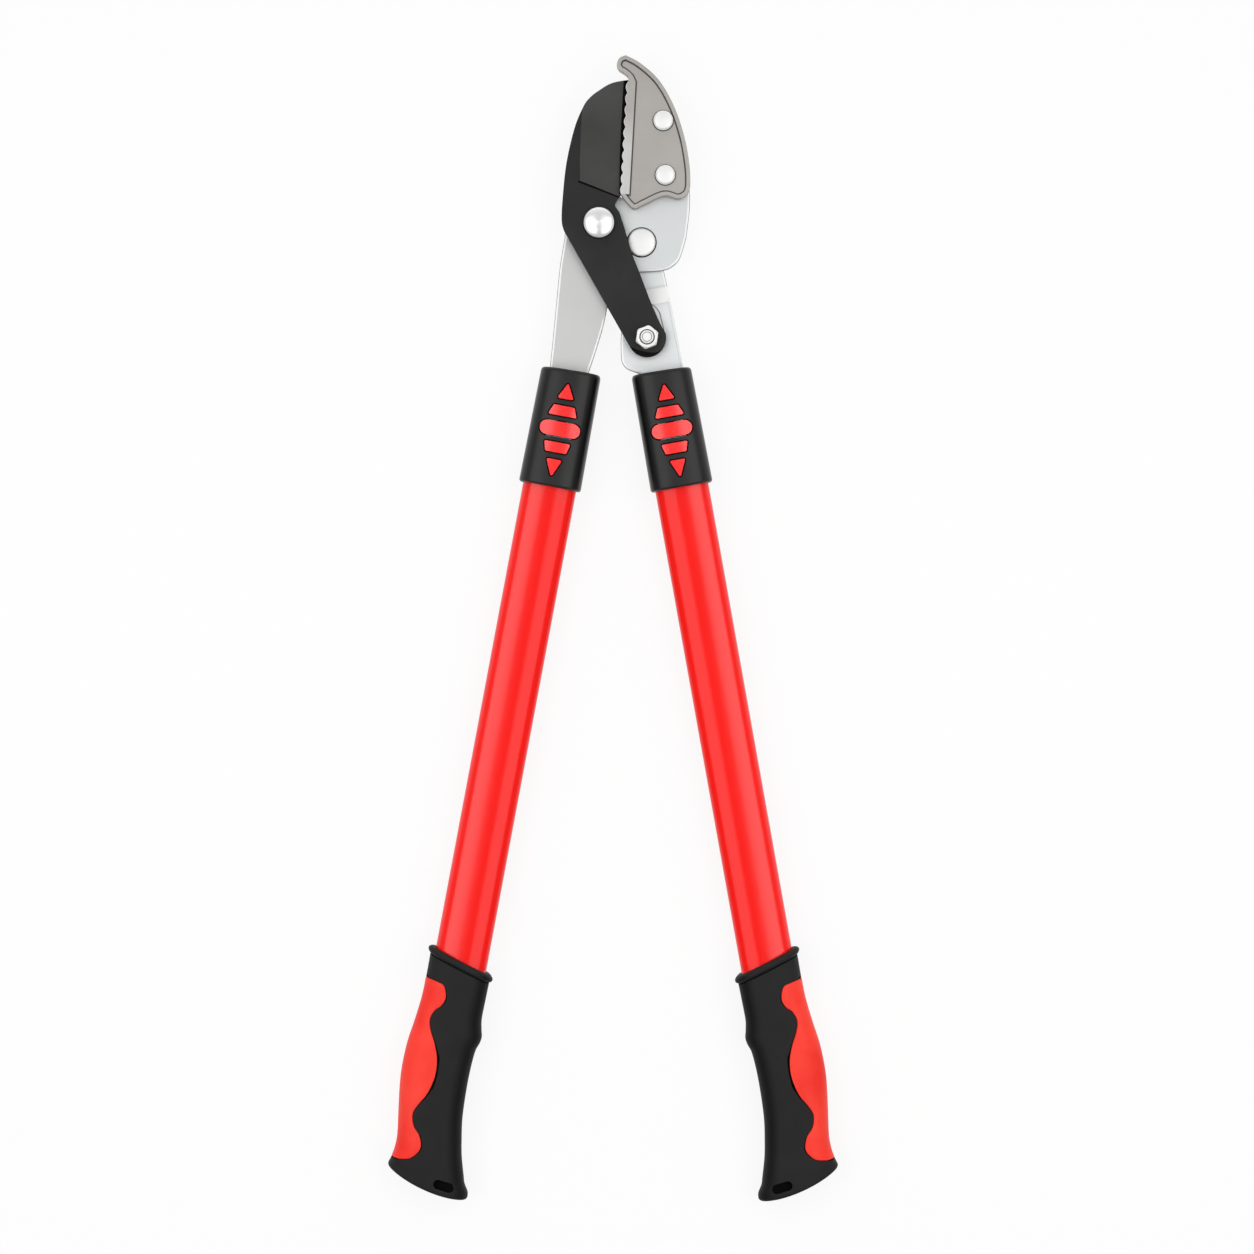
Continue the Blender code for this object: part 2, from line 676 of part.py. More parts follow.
def build_anvil(root):
    outline = anvil_outline()
    front = ANVIL_BACK_Z + ANVIL_THICKNESS
    holes = [circle(place, ANVIL_RIVET_RADIUS + GAP) for place in anvil_rivets().values()]
    anvil = piece("anvil_block", sheet("anvil", [outline, *holes], ANVIL_BACK_Z, front), root, cast_alloy)
    panel = inset(anvil_outline(scallops=False), ANVIL_RIM)
    for index in (0, 1):
        panel[index] = (panel[index][0] + ANVIL_STRIP - ANVIL_RIM, panel[index][1])
    recess = sheet("anvil_panel", [panel], front - ANVIL_RECESS, front + ANVIL_RECESS)
    combine(anvil, cutter("anvil_panel", recess, root))
    start, end = (Vector(point) for point in anvil_face(scallops=False))
    forwards = (end - start).normalized()
    into = Vector((forwards.y, -forwards.x))
    open_end = start - forwards * ANVIL_STRIP * 2
    closed_end = end + forwards * ANVIL_SLOT_END
    outside = into * -2 * SCALLOP_DEPTH
    inside = into * ANVIL_SLOT_DEPTH
    corners = [open_end + outside, open_end + inside, closed_end + inside, closed_end + outside]
    slot = sheet("anvil_slot", [corners], BLADE_BACK_Z - GAP, BLADE_FRONT_Z + GAP)
    combine(anvil, cutter("anvil_slot", slot, root))
    for name, place in anvil_rivets().items():
        low = -PLATE_FRONT - GAP
        top = front - ANVIL_RECESS + GAP
        profile = rivet_profile(
            ANVIL_RIVET_RADIUS, ANVIL_RIVET_HEAD, top, ANVIL_RIVET_HEAD_HEIGHT, low, ANVIL_RIVET_HEAD_HEIGHT
        )
        turned(f"anvil_rivet_{name}", profile, root, bright_steel, (*place, 0), facets=HEAD_FACETS)


def rivet_profile(shank, head, top, top_height, low, low_height):
    """A rivet with a flat head in front and a set head behind."""
    edge = 0.25 * top_height
    return [
        (0, top + top_height), (head - edge, top + top_height), (head, top + top_height - edge),
        (head, top), (shank, top), (shank, low), (head, low), (head - edge, low - low_height),
        (0, low - low_height),
    ]


def build_frame_plate(root):
    origin = main_pivot_place()
    tang = [
        from_pivot(on_handle(-1, s, u), origin)
        for s, u in (
            (INNER_TOP - GAP, -TANG_HALF_WIDTH), (TANG_END, -TANG_HALF_WIDTH),
            (TANG_END, TANG_HALF_WIDTH), (INNER_TOP - GAP, TANG_HALF_WIDTH),
            (INNER_TOP - GAP, STRAP_SHOULDER),
        )
    ]
    outline = joined(
        scaled(through(CARRIER_BACK, 2)),
        scaled(through(CARRIER_HEEL, 3)),
        scaled(through(STRAP_FILLET, 3)),
        scaled(through(STRAP_INNER_EDGE, 2)),
        tang,
        scaled(through(STRAP_OUTER_EDGE, 2)),
        arc((0, 0), PIVOT_BOSS_RADIUS, math.radians(190.0), math.radians(49.0)),
        scaled(through(CARRIER_FRONT, 2)),
        scaled(through(CARRIER_TOP, 3)),
    )
    holes = [
        circle((0, 0), PIVOT_BOLT_RADIUS + GAP),
        circle(LEVER_PIVOT, LEVER_RIVET_RADIUS + GAP),
        *(circle(place, ANVIL_RIVET_RADIUS + GAP) for place in anvil_rivets().values()),
        *(
            circle(from_pivot(on_handle(-1, s, 0), origin), TANG_RIVET_RADIUS + GAP)
            for s in tang_rivets().values()
        ),
    ]
    piece("frame_plate", sheet("frame_plate", [outline, *holes], -PLATE_FRONT, PLATE_FRONT), root, steel)


def build_blade(blade_pivot):
    end = TAIL_PIN
    outline = joined(
        scaled([BLADE_NOTCH[-1], BLADE_BACK[0]]),
        scaled(through(BLADE_BACK, 3)),
        arc(end, TAIL_END_RADIUS, math.radians(-150.0), math.radians(14.0)),
        scaled(through(BLADE_THROAT, 3)),
        scaled(through(BLADE_NOTCH, 2)),
    )
    holes = [
        circle((0, 0), PIVOT_BOLT_RADIUS + GAP),
        circle(end, TAIL_BOLT_RADIUS + GAP),
    ]
    blade = piece(
        "blade", sheet("blade", [outline, *holes], BLADE_BACK_Z, BLADE_FRONT_Z), blade_pivot, coated_steel
    )
    middle = (BLADE_BACK_Z + BLADE_FRONT_Z) / 2
    half = BLADE_THICKNESS / 2
    foot, tip = (Vector(point) * MM for point in (BLADE_NOTCH[-1], BLADE_BACK[0]))
    lean = math.atan2(foot.x - tip.x, tip.y - foot.y)
    edge_length = (tip - foot).length
    grinds = {
        "face": (GRIND_WIDTH, half, GRIND_END, GRIND_FOOT),
        "bevel": (BEVEL_WIDTH, BEVEL_START, BEVEL_END, BEVEL_FOOT),
    }
    for name, (reach, start, finish, foot_cut) in grinds.items():
        for facing in (1, -1):
            beyond = half * 2
            slope = (start - finish) / reach
            ring_low = []
            ring_high = []
            corners = [
                (-reach, foot_cut + GRIND_LEAN * reach), (beyond, foot_cut - GRIND_LEAN * beyond),
                (beyond, edge_length * 1.2), (-reach, edge_length * 1.2),
            ]
            for x, y in corners:
                height = facing * (finish - slope * x)
                ring_low.append((x, y, height))
                ring_high.append((x, y, facing * (half + BLADE_THICKNESS)))
            mesh = loft(f"blade_{name}", [ring_low, ring_high])
            grind = cutter(
                f"blade_{name}_{'front' if facing > 0 else 'back'}", mesh, blade_pivot,
                (foot.x, foot.y, middle), (0, 0, lean),
            )
            combine(blade, grind)


def build_main_pivot(root, blade_pivot):
    head_low = BLADE_FRONT_Z + GAP
    washer_top = -PLATE_FRONT - GAP
    washer_low = washer_top - PIVOT_WASHER_THICKNESS
    nut_top = washer_low - GAP
    bolt_end = nut_top - PIVOT_NUT_HEIGHT - 0.0008
    steps = 5
    dome = []
    skirt = 0.0009
    for step in range(steps + 1):
        angle = math.pi / 2 * step / steps
        dome.append((
            PIVOT_HEAD_RADIUS * math.sin(angle),
            head_low + skirt + (PIVOT_HEAD_HEIGHT - skirt) * math.cos(angle),
        ))
    profile = dome + [
        (PIVOT_HEAD_RADIUS, head_low), (PIVOT_BOLT_RADIUS, head_low),
        (PIVOT_BOLT_RADIUS, bolt_end + 0.0006), (PIVOT_BOLT_RADIUS - 0.0006, bolt_end), (0, bolt_end),
    ]
    turned("pivot_bolt", profile, root, bright_steel, facets=HEAD_FACETS)
    bore = PIVOT_BOLT_RADIUS + GAP
    spacer = washer_profile(bore, PIVOT_SPACER_RADIUS, PLATE_FRONT + GAP, BLADE_BACK_Z - GAP)
    turned("pivot_spacer", spacer, root, bright_steel, ring=True, facets=WASHER_FACETS)
    washer = washer_profile(bore, PIVOT_WASHER_RADIUS, washer_low, washer_top)
    turned("pivot_washer", washer, root, bright_steel, ring=True, facets=WASHER_FACETS)
    hex_nut("pivot_nut", root, bright_steel, PIVOT_NUT_ACROSS, PIVOT_NUT_HEIGHT, bore, nut_top, -1)


def build_lever_rivet(root):
    """The rivet that the lever strap turns on, with a washer under its rear head."""
    boss_back = BOSS_FRONT - LEVER_THICKNESS
    washer_top = boss_back - GAP
    washer_low = washer_top - LEVER_WASHER_THICKNESS
    profile = rivet_profile(
        LEVER_RIVET_RADIUS, LEVER_RIVET_HEAD, PLATE_FRONT + GAP, LEVER_RIVET_HEAD_HEIGHT,
        washer_low - GAP, LEVER_REAR_HEAD_HEIGHT,
    )
    turned("lever_rivet", profile, root, bright_steel, (*LEVER_PIVOT, 0), facets=HEAD_FACETS)
    washer = washer_profile(LEVER_RIVET_RADIUS + GAP, LEVER_WASHER_RADIUS, washer_low, washer_top)
    turned("lever_washer", washer, root, bright_steel, (*LEVER_PIVOT, 0), True, WASHER_FACETS)


def build_lever_strap(lever_pivot):
    """The strap: boss behind the frame plate, joggle, cam slot, and tang in the right handle."""
    origin = lever_pivot_place()
    tang = [
        from_pivot(on_handle(1, s, u), origin, HANDLE_ANGLE)
        for s, u in (
            (INNER_TOP - GAP, STRAP_SHOULDER), (INNER_TOP - GAP, TANG_HALF_WIDTH),
            (TANG_END, TANG_HALF_WIDTH), (TANG_END, -TANG_HALF_WIDTH), (INNER_TOP - GAP, -TANG_HALF_WIDTH),
        )
    ]
    outline = joined(
        arc((0, 0), LEVER_BOSS_RADIUS, math.radians(190.0), math.radians(-30.0)),
        scaled(through(LEVER_RIGHT, 2)),
        tang,
        scaled(through(LEVER_LEFT, 3)),
    )
    slot = swept(pin_path(), TAIL_BOLT_RADIUS + GAP)
    rivets = [
        circle(from_pivot(on_handle(1, s, 0), origin, HANDLE_ANGLE), TANG_RIVET_RADIUS + GAP)
        for s in tang_rivets().values()
    ]
    holes = [circle((0, 0), LEVER_RIVET_RADIUS + GAP), slot, *rivets]
    half = LEVER_THICKNESS / 2
    boss_middle = BOSS_FRONT - half
    first, second = (y * MM for y in LEVER_JOGGLE)
    bend = math.atan2(-boss_middle, first - second)
    shift = half * math.tan(bend / 2)
    top, end = 0.0300, -0.1500
    side_view = [
        (boss_middle + half, top), (boss_middle + half, first + shift), (half, second + shift), (half, end),
        (-half, end), (-half, second - shift), (boss_middle - half, first - shift), (boss_middle - half, top),
    ]
    width = 0.0400
    strip = loft("lever_strip", [[(x, y, z) for z, y in side_view] for x in (-width, width)])
    strap = piece("lever_strap", strip, lever_pivot, steel)
    plan = sheet("lever_plan", [outline, *holes], boss_middle - 2 * half, 2 * half)
    combine(strap, cutter("lever_plan", plan, lever_pivot), "INTERSECT")
    face = scaled(through(LEVER_FACE_RIGHT[1:], 3))
    step = joined(
        scaled(LEVER_FACE_RIGHT[:2]), face,
        [(-0.0300, face[-1][1]), (-0.0300, end), (0.0300, end), (0.0300, LEVER_FACE_RIGHT[0][1] * MM)],
    )
    edge = sheet("lever_step", [step], half - LEVER_STEP_BACK, 2 * half)
    combine(strap, cutter("lever_step", edge, lever_pivot))
    wear = sheet(
        "slot_wear_plate", [swept(pin_path(), WEAR_PLATE_RADIUS), slot],
        LEVER_FRONT + GAP, BLADE_BACK_Z - GAP,
    )
    piece("slot_wear_plate", wear, lever_pivot, steel)


def build_tail_bolt(blade_pivot):
    """The bolt that joins the blade's tail to the cam slot: head behind, lock nut in front."""
    washer_top = -LEVER_FRONT - GAP
    washer_low = washer_top - TAIL_WASHER_THICKNESS
    head_top = washer_low - GAP
    nut_low = BLADE_FRONT_Z + GAP
    end = nut_low + TAIL_NUT_HEIGHT + 0.0010
    radius = TAIL_BOLT_RADIUS
    head = TAIL_HEAD_RADIUS
    profile = [
        (0, end), (radius - 0.0008, end), (radius, end - 0.0008), (radius, head_top), (head, head_top),
        (head * 0.93, head_top - 0.5 * TAIL_HEAD_HEIGHT), (head * 0.6, head_top - 0.93 * TAIL_HEAD_HEIGHT),
        (0, head_top - TAIL_HEAD_HEIGHT),
    ]
    turned("tail_bolt", profile, blade_pivot, bright_steel, (*TAIL_PIN, 0))
    washer = washer_profile(radius + GAP, TAIL_WASHER_RADIUS, washer_low, washer_top)
    turned("tail_washer", washer, blade_pivot, bright_steel, (*TAIL_PIN, 0), True, WASHER_FACETS)
    spindle = pivot("tail_nut_axis", blade_pivot, (*TAIL_PIN, 0))
    hex_nut("tail_nut", spindle, bright_steel, TAIL_NUT_ACROSS, TAIL_NUT_HEIGHT, radius + GAP, nut_low, 1)


UPRIGHT = (math.pi / 2, 0, 0)  # stands a sheet's thickness along the handle


def along_handle(name, outlines, top, bottom):
    """A solid of one section from one s to another. Its sheet is laid along the handle."""
    mesh = sheet(name, outlines, top, bottom)
    shape = bmesh.new()
    shape.from_mesh(mesh)
    bmesh.ops.rotate(shape, verts=shape.verts, matrix=Euler(UPRIGHT).to_matrix())
    shape.to_mesh(mesh)
    shape.free()
    return mesh


def build_inner_tube(side_name, carrier):
    end = INNER_END
    hollow = (INNER_WIDTH - 2 * INNER_WALL, INNER_DEPTH - 2 * INNER_WALL)
    section = [obround(INNER_WIDTH, INNER_DEPTH), obround(*hollow)]
    tube = piece(
        f"{side_name}_inner_tube", along_handle("inner_tube", section, INNER_TOP, end), carrier, bright_steel
    )
    inside = (hollow[0] - 2 * GAP, hollow[1] - 2 * GAP)
    plug_top = INNER_TOP + GAP
    plug_shape = along_handle("tang_plug", [obround(*inside)], plug_top, plug_top + PLUG_LENGTH)
    plug = piece(f"{side_name}_tang_plug", plug_shape, carrier, black_plastic)
    slot = box_outline(TANG_HALF_WIDTH + GAP, -PLATE_FRONT - GAP, PLATE_FRONT + GAP, 0.0002)
    slot_end = TANG_END + GAP
    combine(plug, cutter(f"{side_name}_tang_slot", along_handle("slot", [slot], 0, slot_end), carrier))
    for name, s in tang_rivets().items():
        half = INNER_DEPTH / 2
        profile = [(0, half), (TANG_RIVET_RADIUS, half), (TANG_RIVET_RADIUS, -half), (0, -half)]
        turned(f"{side_name}_tang_rivet_{name}", profile, carrier, bright_steel, (0, -s, 0), facets=12)
        hole = sheet("hole", [circle((0, 0), TANG_RIVET_RADIUS + GAP, 12)], -INNER_DEPTH, INNER_DEPTH)
        drill = cutter(f"{side_name}_tang_hole_{name}", hole, carrier, (0, -s, 0))
        combine(tube, drill)
        combine(plug, drill)
    for number in range(1, DETENT_STEPS + 1):
        s = LOCK_PLACE + TRAVEL * number / DETENT_STEPS
        half_length = STIRRUP_WIDTH / 2 + 2 * GAP
        half_width = TOOTH_HALF_WIDTH + 2 * GAP
        window = box_outline(half_width, -half_length, half_length, 0.0010)
        hole = sheet("detent", [window], -INNER_DEPTH, -INNER_DEPTH / 4)
        combine(tube, cutter(f"{side_name}_detent_{number}", hole, carrier, (0, -s, 0)))
    flange = (INNER_WIDTH + 2 * (TUBE_PLAY - GAP), INNER_DEPTH + 2 * (TUBE_PLAY - GAP))
    seat = end + GAP
    stations = [
        (end - END_BUSH_SPIGOT, inside), (seat, inside), (seat, flange), (seat + END_BUSH_FLANGE, flange),
    ]
    rings = [[(x, -s, z) for x, z in obround(*size)] for s, size in stations]
    piece(f"{side_name}_slide_bush", loft("slide_bush", rings), carrier, grey_plastic)


def collar_section(half, depth):
    """A rounded section with a flat strip down the middle of its faces and sides."""
    quarter = [(half, COLLAR_SIDE_FLAT / 2)]
    for step in range(1, COLLAR_CURVE_STEPS):
        angle = math.pi / 2 * (step / COLLAR_CURVE_STEPS) ** 1.1
        power = 2 / COLLAR_ROUNDNESS
        quarter.append((half * math.cos(angle) ** power, depth * math.sin(angle) ** power))
    quarter.append((COLLAR_FLAT / 2, depth))
    top = quarter + [(-x, z) for x, z in quarter[::-1]]
    return top + [(-x, -z) for x, z in top]


def collar_rings(grow=0.0):
    """Sections of the collar from its top to its bottom, flaring a little, with eased ends."""
    stations = [
        (0, COLLAR_EDGE), (COLLAR_EDGE, 0),
        (COLLAR_LENGTH - COLLAR_EDGE, 0), (COLLAR_LENGTH, COLLAR_EDGE),
    ]
    rings = []
    for s, inset_by in stations:
        share = s / COLLAR_LENGTH
        width = COLLAR_TOP_WIDTH + (COLLAR_BOTTOM_WIDTH - COLLAR_TOP_WIDTH) * share
        ring = collar_section(width / 2 + grow - inset_by, COLLAR_DEPTH / 2 + grow - inset_by)
        rings.append([(x, -s, z) for x, z in ring])
    return rings


def kept_inside(item, side_name, carrier, grow):
    """Give a piece that is set in the collar's face that face's curve, this far outside it."""
    skin = cutter(f"{side_name}_skin_{item.name}", loft("skin", collar_rings(grow)), carrier)
    combine(item, skin, "INTERSECT")


def collar_windows():
    return {
        "collar_arrow_top": scaled(ARROW_TOP),
        "collar_bar_upper": scaled(BAR_UPPER),
        "collar_bar_lower": scaled(BAR_LOWER),
        "collar_arrow_bottom": scaled(ARROW_BOTTOM),
    }


def grown(corners, by):
    """A clockwise polygon with its sides moved outwards."""
    moved = []
    for index, corner in enumerate(corners):
        here = Vector(corner)
        before = (here - Vector(corners[index - 1])).normalized()
        after = (Vector(corners[(index + 1) % len(corners)]) - here).normalized()
        first, second = Vector((-before.y, before.x)), Vector((-after.y, after.x))
        middle = (first + second).normalized()
        moved.append(tuple(here + middle * by / middle.dot(first)))
    return moved


def lock_heights():
    """Heights of the lock's parts from the tube's middle, from the button to the spring."""
    front_bar = INNER_DEPTH / 2 + LOCK_TRAVEL + GAP
    button_low = front_bar + STIRRUP_STRIP + GAP
    tooth = -INNER_DEPTH / 2 - GAP
    back_bar = tooth - TOOTH_HEIGHT
    return front_bar, button_low, tooth, back_bar


def build_collar(side_name, carrier):
    front = COLLAR_DEPTH / 2
    front_bar, button_low, _, _ = lock_heights()
    collar = piece(f"{side_name}_collar", loft("collar", collar_rings()), carrier, black_plastic)
    guide = (INNER_WIDTH + 2 * (GAP + GUIDE_WALL), INNER_DEPTH + 2 * (GAP + GUIDE_WALL))
    guide_bore = obround(guide[0] + 2 * GAP, guide[1] + 2 * GAP)
    throat = obround(INNER_WIDTH + 4 * GAP, INNER_DEPTH + 4 * GAP)
    socket = obround(OUTER_WIDTH + 2 * GAP, OUTER_DEPTH + 2 * GAP)
    half_length = STIRRUP_WIDTH / 2 + 4 * GAP
    cavity_half = INNER_WIDTH / 2 + 2 * GAP + STIRRUP_STRIP + GAP
    cavity = box_outline(cavity_half, -front + BACK_WALL, button_low, STIRRUP_CORNER + GAP)
    beyond = 0.0050
    bores = {
        "lock_cavity": (cavity, LOCK_PLACE - half_length, LOCK_PLACE + half_length),
        "throat": (throat, -beyond, COLLAR_LENGTH + beyond),
        "guide_bore": (guide_bore, -beyond, GUIDE_BOTTOM + GAP),
        "socket": (socket, OUTER_TOP - GAP, COLLAR_LENGTH + beyond),
    }
    for name, (outline, top, bottom) in bores.items():
        shape = along_handle(name, [outline], top, bottom)
        combine(collar, cutter(f"{side_name}_{name}", shape, carrier))
    place = (0, -LOCK_PLACE, 0)
    window = swept(
        [(-(BUTTON_LENGTH - BUTTON_WIDTH) / 2, 0), ((BUTTON_LENGTH - BUTTON_WIDTH) / 2, 0)],
        BUTTON_WIDTH / 2 + GAP,
    )
    opening = sheet("button_window", [window], front_bar, front + beyond)
    combine(collar, cutter(f"{side_name}_button_window", opening, carrier, place))
    low = front + INLAY_PROUD - INLAY_THICKNESS
    for name, corners in collar_windows().items():
        hole = rounded(grown(corners, GAP), INLAY_CORNER + GAP)
        pocket = sheet("pocket", [hole], low - GAP, front + beyond)
        combine(collar, cutter(f"{side_name}_{name}_pocket", pocket, carrier, place))
        inlay = sheet(name, [rounded(corners, INLAY_CORNER)], low, front + beyond)
        filled = piece(f"{side_name}_{name}", inlay, carrier, red_rubber, place)
        kept_inside(filled, side_name, carrier, INLAY_PROUD)
    bush_section = [obround(*guide), obround(INNER_WIDTH + 2 * GAP, INNER_DEPTH + 2 * GAP)]
    bush = along_handle("guide_bush", bush_section, GUIDE_TOP, GUIDE_BOTTOM)
    piece(f"{side_name}_guide_bush", bush, carrier, grey_plastic)


def build_lock(side_name, carrier):
    """Button, stirrup round the inner tube with its tooth at the back, and bowed spring."""
    front = COLLAR_DEPTH / 2
    front_bar, button_low, tooth, back_bar = lock_heights()
    half = INNER_WIDTH / 2 + 2 * GAP
    place = (0, -LOCK_PLACE, 0)
    strip = STIRRUP_STRIP
    outside = box_outline(half + strip, back_bar - strip, front_bar + strip, STIRRUP_CORNER)
    loop = box_outline(half, back_bar, front_bar, STIRRUP_CORNER - strip)
    inside = loop + [
        (-TOOTH_HALF_WIDTH, back_bar), (-TOOTH_HALF_WIDTH, tooth), (TOOTH_HALF_WIDTH, tooth),
        (TOOTH_HALF_WIDTH, back_bar),
    ]
    stirrup = along_handle("stirrup", [outside, inside], -STIRRUP_WIDTH / 2, STIRRUP_WIDTH / 2)
    piece(f"{side_name}_lock_stirrup", stirrup, carrier, bright_steel, place)
    reach = (BUTTON_LENGTH - BUTTON_WIDTH) / 2
    top = front + BUTTON_PROUD
    rings = []
    for height, smaller in ((button_low, 0), (top - BUTTON_EDGE, 0), (top, BUTTON_EDGE)):
        outline = swept([(-reach, 0), (reach, 0)], BUTTON_WIDTH / 2 - smaller)
        rings.append([(x, y, height) for x, y in outline])
    button = piece(f"{side_name}_lock_button", loft("button", rings), carrier, red_rubber, place)
    kept_inside(button, side_name, carrier, BUTTON_PROUD)
    low = -front + BACK_WALL + GAP
    high = back_bar - STIRRUP_STRIP - GAP
    half_span, steps = SPRING_HALF_SPAN, 4
    crown = high - SPRING_STRIP - low
    upper, lower = [], []
    for step in range(steps + 1):
        x = half_span * (2 * step / steps - 1)
        rise = low + crown * math.cos(math.pi / 2 * x / half_span) ** 2
        lower.append((x, rise))
        upper.append((x, rise + SPRING_STRIP))
    strip = along_handle("spring", [lower + upper[::-1]], -SPRING_HALF_WIDTH, SPRING_HALF_WIDTH)
    piece(f"{side_name}_lock_spring", strip, carrier, bright_steel, place)


def grip_sections():
    """Stations of the grip from its rim to its butt: s on the axis, and how far it stands out."""
    top = GRIP_RIM
    bead = [(top, -0.0008), (top + 0.0006, 0.0008), (top + 0.0018, GRIP_BEAD), (top + 0.0030, 0.0008),
            (top + 0.0038, 0.0)]
    first, last = top + 0.0075, GRIP_BUTT - 0.0035
    body = [
        (first + (last - first) * i / GRIP_STATIONS, 0.0) for i in range(GRIP_STATIONS + 1)
    ]
    butt = [(GRIP_BUTT - 0.0012, -0.0009), (GRIP_BUTT, -0.0032)]
    return bead + body + butt


def grip_point(side, station, angle, proud):
    """A point of the grip's skin. Angle 0 is the outer side and 90 degrees the front."""
    _, inner_u = grip_edge(station, "inner")
    _, outer_u = grip_edge(station, "outer")
    centre = (inner_u + outer_u) / 2
    half = (outer_u - inner_u) / 2 + proud
    depth = min(OUTER_DEPTH / 2 + value_at("faces", station), MID) + proud
    power = 2 / GRIP_ROUNDNESS
    cosine, sine = math.cos(angle), math.sin(angle)
    u = centre + half * math.copysign(abs(cosine) ** power, cosine)
    z = depth * math.copysign(abs(sine) ** power, sine)
    return (side * u, -(station - GRIP_SLANT * u), z)


def inlay_angle(side, station, spread):
    """The angle from the outer side to the inlay's wavy edge at a station."""
    low, high = 0.0, math.radians(125.0)
    for _ in range(24):
        angle = (low + high) / 2
        x, y, _ = grip_point(side, station, angle, 0.0)
        edge = value_at("inlay", -y) - spread
        if side * x > edge:
            low = angle
        else:
            high = angle
    return low


def inlay_shell(name, side, spread, outside, inside):
    """The inlay as a curved shell round the grip's outer side, between two depths."""
    start, end = (
        s + GRIP_SLANT * grip_side("outer", s) for s in (OUTER_END + PROFILES["inlay"][i][0] for i in (0, -1))
    )
    middle_rows, columns = 18, 8
    close, near = 0.0010, 0.0032
    first, last = start + near, end - near
    stations = [
        start, start + close,
        *(first + (last - first) * row / middle_rows for row in range(middle_rows + 1)),
        end - close, end,
    ]
    rows = len(stations) - 1
    shifts = [-spread] + [0.0] * (rows - 1) + [spread]
    shape = bmesh.new()
    skins = []
    for depth in (outside, inside):
        skin = []
        for station, shift in zip(stations, shifts):
            reach = max(inlay_angle(side, station, spread), math.radians(12.0))
            if shift:
                reach += spread / GRIP_END_RADIUS
            angles = [reach * (1 - 2 * column / columns) for column in range(columns + 1)]
            skin.append([
                shape.verts.new(grip_point(side, station + shift, angle, depth)) for angle in angles
            ])
        skins.append(skin)
    outer, inner = skins
    for row in range(rows):
        for column in range(columns):
            for skin in skins:
                shape.faces.new((
                    skin[row][column], skin[row][column + 1],
                    skin[row + 1][column + 1], skin[row + 1][column],
                ))
        for column in (0, columns):
            shape.faces.new((
                outer[row][column], outer[row + 1][column], inner[row + 1][column], inner[row][column],
            ))
    for column in range(columns):
        for row in (0, rows):
            shape.faces.new((
                outer[row][column], outer[row][column + 1], inner[row][column + 1], inner[row][column],
            ))
    bmesh.ops.triangulate(shape, faces=shape.faces, quad_method="FIXED")
    bmesh.ops.recalc_face_normals(shape, faces=shape.faces)
    mesh = bpy.data.meshes.new(name)
    shape.to_mesh(mesh)
    shape.free()
    return mesh


def build_grip(side_name, side, carrier):
    rings = []
    for station, proud in grip_sections():
        rings.append([
            grip_point(side, station, math.tau * i / GRIP_POINTS, proud) for i in range(GRIP_POINTS)
        ])
    grip = piece(f"{side_name}_grip", loft("grip", rings), carrier, black_plastic)
    bore = obround(OUTER_WIDTH + 2 * GAP, OUTER_DEPTH + 2 * GAP)
    bore = along_handle("bore", [bore], GRIP_RIM - OUTER_WIDTH, OUTER_END + 2 * GAP)
    combine(grip, cutter(f"{side_name}_grip_bore", bore, carrier))
    pocket = inlay_shell("inlay_pocket", side, GRIP_INLAY_MARGIN, 0.0010, -GRIP_INLAY_THICKNESS - GAP)
    combine(grip, cutter(f"{side_name}_inlay_pocket", pocket, carrier))
    inlay = inlay_shell("grip_inlay", side, 0.0, 0.0, -GRIP_INLAY_THICKNESS)
    piece(f"{side_name}_grip_inlay", inlay, carrier, red_rubber)
    half = (HANG_SLOT[0] - HANG_SLOT[1]) / 2
    outline = swept([(-half, 0), (half, 0)], HANG_SLOT[1] / 2)
    recess = sheet("hang_recess", [outline], MID - HANG_DEPTH, MID + HANG_DEPTH)
    lean = side * HANG_LEAN
    beyond, u = HANG_PLACE
    place = (side * u, -OUTER_END - beyond, 0)
    combine(grip, cutter(f"{side_name}_hang_recess", recess, carrier, place, (0, 0, lean)))


def build_outer_tube(side_name, carrier):
    section = [obround(OUTER_WIDTH, OUTER_DEPTH),
               obround(OUTER_WIDTH - 2 * OUTER_WALL, OUTER_DEPTH - 2 * OUTER_WALL)]
    tube = along_handle("outer_tube", section, OUTER_TOP, OUTER_END)
    piece(f"{side_name}_outer_tube", tube, carrier, red_paint)


def main():
    root = pivot("main_pivot", place=(*main_pivot_place(), MID))
    blade_pivot = pivot("blade_pivot", root)
    lever_pivot = pivot("lever_pivot", root, (*LEVER_PIVOT, 0), HANDLE_ANGLE)
    build_frame_plate(root)
    build_anvil(root)
    build_blade(blade_pivot)
    build_main_pivot(root, blade_pivot)
    build_lever_rivet(root)
    build_lever_strap(lever_pivot)
    build_tail_bolt(blade_pivot)
    for side_name, side in (("left", -1), ("right", 1)):
        axis = pivot(f"{side_name}_handle_axis", None, (*handle_top(side), MID), side * HANDLE_ANGLE)
        build_inner_tube(side_name, axis)
        build_outer_tube(side_name, axis)
        build_collar(side_name, axis)
        build_lock(side_name, axis)
        build_grip(side_name, side, axis)


main()
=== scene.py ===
"""Looks of the telescopic lopper: fine surfaces, materials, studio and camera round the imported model.

Metres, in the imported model's frame: +Y to the jaws, +Z up from the surface that the tool lies on.
On each handle, s runs from the collar's top to the grip and u runs outwards across it.
"""

import functools
from math import atan2, ceil, copysign, cos, dist, hypot, pi, radians, sin, sqrt, tan

import bmesh
import bpy
from mathutils import Matrix, Vector, geometry


